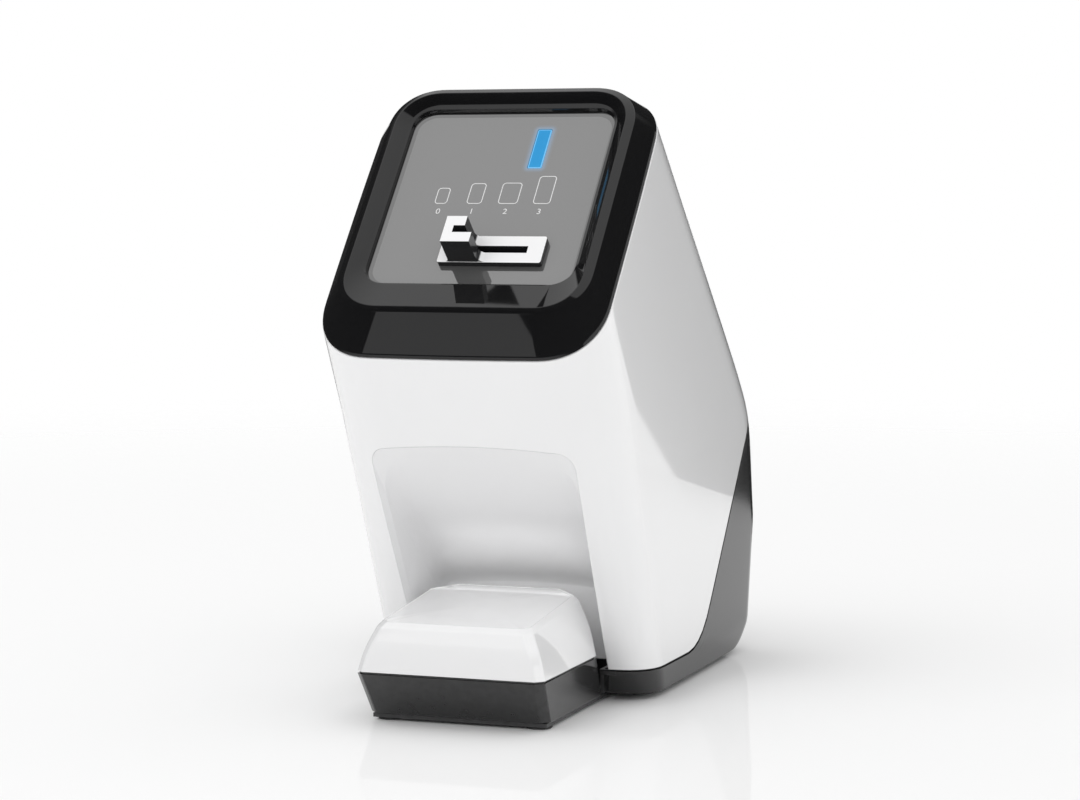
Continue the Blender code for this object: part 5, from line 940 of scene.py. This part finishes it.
def makeRearCover():
    c, wall, gap, bottom = rearCover, body["wall"], body["gap"], body["bottom"]
    (tall, deep), chamfer, through = c["groove"], c["chamfer"], c["through"]

    def coverRise(y, z):
        return seamRise(y, z) + gap

    outerTop, innerTop = heightsWhere(coverRise, -tall - chamfer), heightsWhere(coverRise, 0, wall)
    rings = [bodyRing(z) for z in coverLevels(outerTop, bottom, 0.0)]
    rings += [ringWhere(coverRise, -tall, chamfer), ringWhere(coverRise, -tall, deep),
              ringWhere(coverRise, 0, deep)]
    rings += [bodyRing(z, wall) for z in coverLevels(innerTop, bottom + wall, wall)[::-1]]
    made = addPiece("rearCover", skinRings(rings), "dark_grey", "housing", ("rear_cover",))

    half, rear, side = c["channelHalfWidth"], c["channelRearY"], c["channelWall"]
    ceiling, floor = body["seamHeight"] - gap, bottom + wall / 2
    start = float(frontY(ceiling)) + c["channelStart"]
    keep = boxShape((2 * (half + side), rear + side - start, ceiling - floor),
                    (0, (rear + side + start) / 2 + foldY, (ceiling + floor) / 2))
    carve(made, keep, operation="UNION")
    channel = boxShape((2 * half, 2 * rear, c["channelCut"]), (0, foldY, 0))
    wide, front, back, corner = c["basePlate"]
    flat = Matrix.Translation((0, foldY, 0))
    base = roundedSlab(-wide, wide, front, back, corner, 2 * (bottom + wall + gap), flat, 6)
    half, low, high = c["port"]
    port = boxShape((2 * half, through, high - low), (0, body["depth"] + foldY, (high + low) / 2))
    carve(made, channel, base, port)

    slots = bmesh.new()
    reach, tall = c["ventHalfWidth"], c["ventHeight"]
    upright = Matrix.Rotation(math.pi / 2, 4, "X")
    for i in range(c["vents"]):
        z = c["ventMiddle"] + (i - (c["vents"] - 1) / 2) * c["ventPitch"]
        place = Matrix.Translation((0, body["depth"] + foldY, z)) @ upright
        corner = tall * c["ventCorner"]
        mergeInto(slots, roundedSlab(-reach, reach, -tall / 2, tall / 2, corner, through, place, 4))
    carve(made, slots)
    for x, y in c["screws"]:
        for sign in (-1, 1):
            carve(made, rodShape(c["screwHole"], through, Matrix.Translation((sign * x, y + foldY, 0))))
    evenNormals(made)


makeRearCover()
print("rear cover made")


# Bezel

bezel = {
    "shadowGap": 0.6 * mm,
    "lip": 1.4 * mm,
    "lipInset": 0.2 * mm,
    "lipTaper": 0.8 * mm,
    "halfWidth": 70.2 * mm,
    "start": 21.6 * mm,
    "end": 177.8 * mm,
    "height": 13.3 * mm,
    "corner": 28 * mm,
    "crestInset": 4.3 * mm,
    "crestRise": 1.9 * mm,
    # half width, start, end, corner, height
    "crease": (59.8 * mm, 42.2 * mm, 169 * mm, 17 * mm, 10.6 * mm),
    "step": (0.7 * mm, 9.9 * mm),    # outside the window, height
    "window": (57.4 * mm, 44 * mm, 165.4 * mm, 12 * mm),
    "glassTop": 7.7 * mm,
    "glassBottom": 4.7 * mm,
    "glassMargin": 2.8 * mm,
    "wall": 2.4 * mm,
    "skirtReach": 3 * mm,
    "skirtWall": 2 * mm,
    "skirtClearance": 0.4 * mm,
}


def panelRing(halfWidth, start, end, corner, height):
    x, along = roundedHalf(halfWidth, start, end, (corner, corner), (corner, corner))
    y, z = panelToSide(along, -height)
    return fullRing(x, y + foldY, z)


def makeBezel():
    b, gap = bezel, body["gap"]
    shadow, inset, rise, wall = b["shadowGap"], b["lipInset"], b["crestInset"], b["wall"]
    margin = b["glassMargin"] + gap
    wide, start, end, corner = b["window"]
    step, stepHeight = b["step"]
    seat = (wide + margin, start - margin, end + margin, corner + b["glassMargin"])
    around = (seat[0] + wall, seat[1] - wall, seat[2] + wall, seat[3] + wall)
    seatHeight, floor = b["glassTop"] + gap, b["glassBottom"] - gap
    skirt, reach = body["wall"] + b["skirtClearance"], -b["skirtReach"]
    rings = [
        (ringWhere(panelRise, shadow, inset), 0.25),
        (ringWhere(panelRise, shadow + b["lip"], inset + b["lipTaper"]), 0.35),
        (panelRing(b["halfWidth"], b["start"], b["end"], b["corner"], b["height"]), 0.4),
        (panelRing(b["halfWidth"] - rise, b["start"] + rise / 2, b["end"] - rise, b["corner"] - rise,
                   b["height"] + b["crestRise"]), 0.4),
        (panelRing(*b["crease"]), 0.2),
        (panelRing(wide + step, start - step, end + step, corner + step, stepHeight), 0.2),
        (panelRing(wide, start, end, corner, seatHeight), 0.15),
        (panelRing(*seat, seatHeight), 0),
        (panelRing(*seat, floor), 0),
        (panelRing(*around, floor), 0),
        (ringWhere(panelRise, shadow + wall, skirt + b["skirtWall"] + wall), 0),
        (ringWhere(panelRise, reach, skirt + b["skirtWall"]), 0),
        (ringWhere(panelRise, reach, skirt), 0),
        (ringWhere(panelRise, shadow, skirt), 0),
    ]
    skin = skinRings(softRings(rings), True)
    evenNormals(addPiece("bezelRing", skin, "gloss_black", "housing", ("bezel",), sharpAt=40))


makeBezel()
print("bezel made")


# Drawer

drawer = {
    "bottom": 4 * mm,
    "seam": 28 * mm,
    "gap": 0.3 * mm,
    "groove": (0.8 * mm, 0.9 * mm),    # height and depth of the dark line under the cap
    "wall": 2.2 * mm,
    "corner": 4 * mm,
    "rearCorner": 12 * mm,
    "cornerTurn": (1.1 * mm, 0.4, 5),              # reach, its largest share of a side, points
    "rim": (52 * mm, -5 * mm, 95 * mm),            # half width, front, rear
    "foot": (50 * mm, 10 * mm, 110 * mm),
    "footInset": 1 * mm,
    "floorInset": 3 * mm,
    "shoulder": (43.4 * mm, 1.9 * mm, 91 * mm),
    "top": (40.8 * mm, 5 * mm, 89 * mm),
    "shoulderHeight": 50.8 * mm,
    "topHeight": 53.8 * mm,
    "ceiling": (8 * mm, 0.6 * mm),                 # inset and rise of the cap's inner top
    "belly": 1.2 * mm,
    "slope": math.radians(6.2),
    "crown": 0.9 * mm,
    "crownRings": ((6, 0.35), (14, 0.65), (24, 0.85), (34, 1.0)),    # mm inwards, share of the crown
    "mouth": (11.55 * mm, 23 * mm, 33 * mm, 54 * mm),    # middle, half width, bottom, top
    "mouthCut": 40 * mm,
}


def drawerRing(sizes, height, slope=0.0, corner=drawer["corner"], rearCorner=drawer["rearCorner"]):
    # cut corners, each with a soft turn at its two ends
    halfWidth, start, end = sizes
    reach, share, count = drawer["cornerTurn"]
    right = np.array([(0.0, start), (halfWidth - corner, start), (halfWidth, start + corner),
                      (halfWidth, end - rearCorner), (halfWidth - rearCorner, end), (0.0, end)])
    points = [right[0]]
    for before, here, after in zip(right, right[1:], right[2:]):
        legs = [other - here for other in (before, after)]
        lengths = [np.linalg.norm(leg) for leg in legs]
        turned = min(reach, lengths[0] * share, lengths[1] * share)
        first, last = [here + leg / length * turned for leg, length in zip(legs, lengths)]
        points += [curvePoint(t, first, here, last) for t in np.linspace(0, 1, count)]
    half = np.array([*points, right[-1]])
    x, y = np.concatenate([half, half[-2:0:-1] * (-1, 1)]).T
    return np.stack([x, y + foldY, height + (y - start) * math.tan(slope)], axis=1)


def shrunk(sizes, by):
    return (sizes[0] - by, sizes[1] + by, sizes[2] - by)


def makeTub():
    d = drawer
    wall, top, (tall, deep) = d["wall"], d["seam"] - d["gap"], d["groove"]
    rings = [
        (drawerRing(shrunk(d["foot"], d["footInset"]), d["bottom"]), 0),
        (drawerRing(d["foot"], d["bottom"]), 0.9),
        (drawerRing(d["rim"], top - tall), 0.25),
        (drawerRing(shrunk(d["rim"], deep), top - tall), 0),
        (drawerRing(shrunk(d["rim"], deep), top), 0),
        (drawerRing(shrunk(d["rim"], wall), top), 0.3),
        (drawerRing(shrunk(d["foot"], wall), d["bottom"] + wall), 0.9),
        (drawerRing(shrunk(d["foot"], wall + d["floorInset"]), d["bottom"] + wall), 0),
    ]
    skin = skinRings(softRings(rings))
    evenNormals(addPiece("drawerTub", skin, "dark_grey", "drawer", ("drawer_tub",)))


def makeCap():
    d = drawer
    wall, slope, (inset, rise), by = d["wall"], d["slope"], d["ceiling"], d["belly"]
    halfWidth, start, end = [(low + high) / 2 for low, high in zip(d["rim"], d["shoulder"])]
    bellyHeight = (d["seam"] + d["shoulderHeight"]) / 2
    soft = softRings([
        (drawerRing(shrunk(d["shoulder"], wall + inset), d["shoulderHeight"] - wall + rise, slope), 0),
        (drawerRing(shrunk(d["shoulder"], wall), d["shoulderHeight"] - wall, slope), 1.5),
        (drawerRing(shrunk(d["rim"], wall), d["seam"]), 0.2),
        (drawerRing(d["rim"], d["seam"]), 0.6),
        (drawerRing((halfWidth + by, start - by, end + by), bellyHeight, slope / 2), 9),
        (drawerRing(d["shoulder"], d["shoulderHeight"], slope), 0.9),
        (drawerRing(d["top"], d["topHeight"], slope), 0.9),
    ], 4)
    for inward, share in d["crownRings"]:    # a slightly crowned top
        sizes = shrunk(d["top"], inward * mm)
        lift = inward * mm * math.tan(slope) + d["crown"] * share
        soft.append(drawerRing(sizes, d["topHeight"] + lift, slope, max(4 - inward / 10, 1) * mm, 4 * mm))
    cap = addPiece("drawerCap", skinRings(soft), "white_plastic", "drawer", ("drawer_cap",), sharpAt=40)
    middle, half, low, high = d["mouth"]
    mouth = (middle, d["rim"][2] + foldY, (low + high) / 2)
    carve(cap, boxShape((2 * half, d["mouthCut"], high - low), mouth))
    evenNormals(cap)


makeTub()
makeCap()
print("drawer made")


# Padded pieces

drawerPad = {
    "crown": 0.5 * mm,
    "edge": 0.8 * mm,
    "edgeRings": 9,
    "corner": 4 * mm,
    "crownShares": (0.9, 0.75, 0.55, 0.35, 0.15),
}
lightSeal = {
    "edge": 0.7 * mm,
    "centre": (11.55 * mm, 65.7 * mm),
    "half": (25 * mm, 10 * mm),
    "corner": 1.5 * mm,
    "top": 2.4 * mm,
    "bottom": -9.7 * mm,
    "slit": (-6.8 * mm, 29.9 * mm, 2.3 * mm),    # left, right, width
    "slitCorner": 0.6 * mm,
    "slitFlare": 0.8 * mm,
}


def softRectangle(halfX, halfY, corner, z, centre):
    # points round a rectangle with round corners
    steps, sides = 8, 6    # points on a corner and on a side
    signs = [(1, 1), (-1, 1), (-1, -1), (1, -1)]

    def cornerPoint(number, turns):
        (signX, signY), angle = signs[number % 4], math.pi / 2 * turns
        return np.array((signX * (halfX - corner) + corner * math.cos(angle),
                         signY * (halfY - corner) + corner * math.sin(angle)))

    points = []
    for number in range(4):
        points += [cornerPoint(number, number + i / steps) for i in range(steps + 1)]
        here, there = points[-1], cornerPoint(number + 1, number + 1)
        points += [here + (there - here) * i / sides for i in range(1, sides)]
    return np.column_stack([np.array(points) + centre, np.full(len(points), z)])


def makeDrawerPad():
    d = drawerPad
    low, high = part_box("drawer_pad")
    middle = ((low.x + high.x) / 2, (low.y + high.y) / 2)
    halfX, halfY = (high.x - low.x) / 2, (high.y - low.y) / 2
    top = high.z - d["crown"]
    rings = []
    for turn in np.linspace(0, math.pi, d["edgeRings"]):
        inset = d["edge"] * (1 - math.sin(turn))
        z = (low.z + top) / 2 - (top - low.z) / 2 * math.cos(turn)
        rings.append(softRectangle(halfX - inset, halfY - inset, d["corner"], z, middle))
    for share in d["crownShares"]:
        z = top + d["crown"] * (1 - share**3)
        rings.append(softRectangle(halfX * share, halfY * share, d["corner"] * share, z, middle))
    made = addPiece("drawerPad", skinRings(rings), "soft_foam", "drawer", ("drawer_pad",), sharpAt=60)


def makeLightSeal():
    s = lightSeal
    (halfX, halfY), edge, low, high = s["half"], s["edge"], s["bottom"], s["top"]
    outer = [(low, edge), (low + edge, 0), ((low + high) / 2, 0), (high - edge, 0), (high, edge)]
    rings = [softRectangle(halfX - inset, halfY - inset, s["corner"], z, s["centre"]) for z, inset in outer]
    left, right, width = s["slit"]
    flare, corner = s["slitFlare"], s["slitCorner"]
    for z, grow in ((high, flare), (high - flare, 0), (low + flare, 0), (low, flare)):
        sizes = ((right - left) / 2 + grow, width / 2 + grow, corner + grow)
        rings.append(softRectangle(*sizes, z, s["centre"]))
    bm = skinRings(rings, True)
    bmesh.ops.transform(bm, matrix=panelPlace, verts=bm.verts)
    made = addPiece("lightSeal", bm, "soft_foam", "housing", ("light_seal",), sharpAt=60)


makeDrawerPad()
makeLightSeal()
print("padded pieces made")


# Pieces whose edges are softened: name, slot, width in mm, own finish

softened = {
    "inlet_guide": ("inletGuide", "white_plastic", 0.35, guidePaintedShade),
    "port_tray": ("portTray", "black_plastic", 0.4),
    "power_inlet": ("powerInlet", "black_plastic", 0.3),
    "data_port": ("dataPort", "sheet_steel", 0.25),
    "power_switch_frame": ("powerSwitchFrame", "black_plastic", 0.35),
    "power_rocker": ("powerRocker", "black_plastic", 0.3),
    "base_plate": ("basePlate", "black_plastic", 0.3),
    "fan_frame": ("fanFrame", "black_plastic", 0.4),
    "status_light_lens": ("statusLens", "light_blue", 0.25),
}
for node, (name, slot, width, *finish) in softened.items():
    made = addPiece(name, mergedCopy(node), slot, nodes[node]["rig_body"], (node,), *finish)
    roundEdges(made, width * mm)

chute = {
    "gap": 0.2 * mm,
    "edge": 0.3 * mm,
    "cut": (100 * mm, 40 * mm, 80 * mm),
}


def makeChute():
    # the chute ends at the pocket's rear wall, whose mouth is narrower than the chute
    made = addPiece("exitChute", mergedCopy("exit_chute"), "black_plastic", "housing", ("exit_chute",))
    end = pocket["rearY"] + pocket["wall"] + chute["gap"] + foldY
    _, deep, tall = chute["cut"]
    carve(made, boxShape(chute["cut"], (0, end - deep / 2, tall / 2)))
    roundEdges(made, chute["edge"])


makeChute()
print("soft-edged pieces made")


# Marks on the glass

marks = {
    "along": 100 * mm,
    "plates": [(20, 31, "0"), (24, 40, "1"), (31, 41, "2"), (27, 54, "3")],    # plate sizes in mm
    "scale": 0.36,
    "line": 0.45 * mm,
    "corner": 2 * mm,
    "thickness": 0.03 * mm,
    "step": 19 * mm,
    "text": 5.2 * mm,
    "textDrop": 7 * mm,
}


def addDigit(whole, digit, place):
    words = bpy.data.curves.new("digit", "FONT")
    words.body, words.size, words.align_x = digit, marks["text"], "CENTER"
    words.extrude = marks["thickness"] / 2
    holder = bpy.data.objects.new("digit", words)
    bpy.context.scene.collection.objects.link(holder)
    made = evaluatedMesh(holder)
    made.transform(Matrix.Translation(place))
    whole.from_mesh(made)
    bpy.data.objects.remove(holder)
    bpy.data.curves.remove(words)
    bpy.data.meshes.remove(made)


def makeMarks():
    m = marks
    low, line = bezel["glassTop"], m["line"]
    high = low + m["thickness"]
    whole = bmesh.new()
    for number, (wide, tall, digit) in enumerate(m["plates"]):
        x = (number - (len(m["plates"]) - 1) / 2) * m["step"]
        halfX, halfY = wide * mm * m["scale"] / 2, tall * mm * m["scale"] / 2
        outer, inner = (halfX, halfY, m["corner"]), (halfX - line, halfY - line, m["corner"] - line)
        centre = (x, m["along"] + halfY)
        edges = ((outer, low), (outer, high), (inner, high), (inner, low))
        mergeInto(whole, skinRings([softRectangle(*sizes, z, centre) for sizes, z in edges], True))
        addDigit(whole, digit, (x, m["along"] - m["textDrop"], low + m["thickness"] / 2))
    bmesh.ops.remove_doubles(whole, verts=whole.verts, dist=0.001 * mm)
    bmesh.ops.transform(whole, matrix=panelPlace, verts=whole.verts)
    addPiece("plateSizeMarks", whole, "white_plastic", "housing", finish=printInk)


makeMarks()
print("marks made")


# Finishes of the nodes that stay

for name, node in nodes.items():
    old = node.data.materials[0].name.split(".")[0] if node.data.materials else ""
    if old in finishes:
        node.data.materials[0] = finishes[old]
    elif not node.hide_render:
        print("no finish for", name, old)
print("nodes finished")


# Floor, light and camera

studio = {
    "floorReach": 4.0,
    "floorColour": (0.97, 0.97, 0.97),
    "floorEdge": (0.7, 2.2),          # where the floor melts into the background
    "floorGloss": 0.04,
    "mirrorEdge": ((-0.75, 0.662, 0.0), 0.4),    # across and how far the floor shows in the object's gloss
    "mirror": 0.08,
    "worldLight": 0.98,
    "ceiling": (0.58, 0.63),          # heights of the sky where the ceiling light begins in reflections
    "dark": 0.03,
    "backdrop": (0.14, 0.6, 0.225),   # the bright backdrop in reflections: two sides and its top
    "sideLight": (0.4215, 1.09, -1.19, -0.21, 0.47),    # near side as x/y and its lean, far side, foot, top
}
cards = {    # corners, strength
    "frontCard": ([(-0.32, -0.656, 0.36), (-0.109, -0.656, 0.355), (-0.158, -0.656, 0.402),
                   (-0.272, -0.656, 0.402)], 0.8),
    "darkCard": ([(-0.167, 0.015, 0.7), (-0.162, 0.031, 0.7), (-0.146, 0.0, 0.7), (-0.182, 0.002, 0.7)], 0.0),
}
lamps = {    # power, size, place, aim
    "keyLamp": (4.0, (1.4, 1.4), (-1.0, -1.6, 1.7), (0, 0, 0.15)),
    "recessLamp": (0.0045, (0.08, 0.02), (0.0, -0.086, 0.07), (0, -0.03, 0.066)),
    "recessFootLamp": (0.0016, (0.09, 0.006), (-0.003, -0.064, 0.0642), (-0.003, -0.034, 0.074)),
}
camera = {
    "lens": 94.52,
    "clip": (0.05, 50.0),
    "place": (0.5264, -1.51265, 0.2814),
    "turns": (("Z", 19.438), ("X", 90 - 4.354), ("Z", -0.042)),    # degrees, from the outermost
}


def emptyTree(owner):
    owner.use_nodes = True
    owner.node_tree.nodes.clear()
    return owner.node_tree


def makeStage(name, bm, finish):
    made = plainObject(name, bm)
    made.data.materials.append(finish)
    return made


def makeFloor():
    made = bpy.data.materials.new("studioFloor")
    tree = emptyTree(made)
    matt = addNode(tree, "BsdfDiffuse", {"Color": studio["floorColour"]}).outputs[0]
    gloss = addNode(tree, "BsdfAnisotropic", {"Roughness": studio["floorGloss"]}).outputs[0]
    both = addNode(tree, "MixShader", [studio["mirror"], matt, gloss]).outputs[0]
    # the floor melts into the white background with distance, and ends sooner in reflections
    place = objectPlace(tree)
    faded = rampNode(tree, vectorNode(tree, "LENGTH", place), *studio["floorEdge"])
    across, reach = studio["mirrorEdge"]
    beyond = mathNode(tree, "GREATER_THAN", vectorNode(tree, "DOT_PRODUCT", place, across), reach)
    right = mathNode(tree, "GREATER_THAN", addNode(tree, "SeparateXYZ", [place]).outputs[0], 0.0)
    ended = productOf(tree, beyond, right, addNode(tree, "LightPath").outputs["Is Glossy Ray"])
    gone = mathNode(tree, "MAXIMUM", faded, ended)
    clear = addNode(tree, "BsdfTransparent").outputs[0]
    addNode(tree, "OutputMaterial", [addNode(tree, "MixShader", [gone, both, clear]).outputs[0]])
    bm = bmesh.new()
    bmesh.ops.create_circle(bm, cap_ends=True, segments=96, radius=studio["floorReach"])
    makeStage("floor", bm, made)


def makeCard(name, corners, strength):
    # a panel that shows only in reflections
    made = bpy.data.materials.new(name)
    tree = emptyTree(made)
    addNode(tree, "OutputMaterial", [addNode(tree, "Emission", {"Strength": strength}).outputs[0]])
    bm = bmesh.new()
    bm.faces.new([bm.verts.new(corner) for corner in corners])
    card = makeStage(name, bm, made)
    card.visible_camera = card.visible_diffuse = card.visible_shadow = False


def makeWorld():
    # white to the eye and as light; a ceiling, a backdrop and a side light show only in reflections
    world = bpy.context.scene.world = bpy.data.worlds.new("studio")
    tree = emptyTree(world)
    x, y, z = addNode(tree, "SeparateXYZ", [addNode(tree, "TexCoord").outputs["Generated"]]).outputs

    def over(value, limit):
        return mathNode(tree, "GREATER_THAN", value, limit)

    def under(value, limit):
        return mathNode(tree, "LESS_THAN", value, limit)

    near, far, top = studio["backdrop"]
    aside = mathNode(tree, "DIVIDE", productOf(tree, x, -1.0), y)
    between = mathNode(tree, "COMPARE", aside, (near + far) / 2)
    between.node.inputs[2].default_value = (far - near) / 2
    window = productOf(tree, between, over(y, 0.0), under(z, top), over(z, 0.0))
    near, leaning, behind, foot, head = studio["sideLight"]
    before = mathNode(tree, "ADD", productOf(tree, z, leaning), near)
    sides = [over(x, productOf(tree, y, slope)) for slope in (before, behind)]
    zone = productOf(tree, *sides, over(z, foot), under(z, head))
    shade = studio["dark"]
    for part in (window, rampNode(tree, z, *studio["ceiling"]), zone):
        shade = mathNode(tree, "MAXIMUM", part, shade)
    settings = ({"Color": (1.0, 1.0, 1.0)}, {"Color": (1.0, 1.0, 1.0), "Strength": studio["worldLight"]},
                {"Color": shade})
    seen, lit, mirrored = [addNode(tree, "Background", inputs).outputs[0] for inputs in settings]
    path = addNode(tree, "LightPath").outputs
    unseen = addNode(tree, "MixShader", [path["Is Glossy Ray"], lit, mirrored]).outputs[0]
    whole = addNode(tree, "MixShader", [path["Is Camera Ray"], unseen, seen]).outputs[0]
    addNode(tree, "OutputWorld", [whole])


def placeHolder(name, data, turn, place):
    holder = bpy.data.objects.new(name, data)
    bpy.context.scene.collection.objects.link(holder)
    holder.matrix_world = Matrix.Translation(place) @ turn
    return holder


def makeLamp(name, power, size, place, aim):
    lamp = bpy.data.lights.new(name, "AREA")
    lamp.shape, lamp.energy = "RECTANGLE", power
    lamp.size, lamp.size_y = size
    turn = (Vector(aim) - Vector(place)).to_track_quat("-Z", "Y").to_matrix().to_4x4()
    holder = placeHolder(name, lamp, turn, place)
    holder.visible_glossy = holder.visible_camera = False


def makeCamera():
    view = bpy.data.cameras.new("photoCamera")
    view.sensor_width, view.lens = 36.0, camera["lens"]
    view.clip_start, view.clip_end = camera["clip"]
    turn = Matrix.Identity(4)
    for axis, angle in camera["turns"]:
        turn = turn @ Matrix.Rotation(math.radians(angle), 4, axis)
    bpy.context.scene.camera = placeHolder("photoCamera", view, turn, camera["place"])


makeFloor()
for name, values in cards.items():
    makeCard(name, *values)
makeWorld()
for name, values in lamps.items():
    makeLamp(name, *values)
makeCamera()
bpy.context.scene.view_settings.view_transform = "Standard"
print("studio ready")
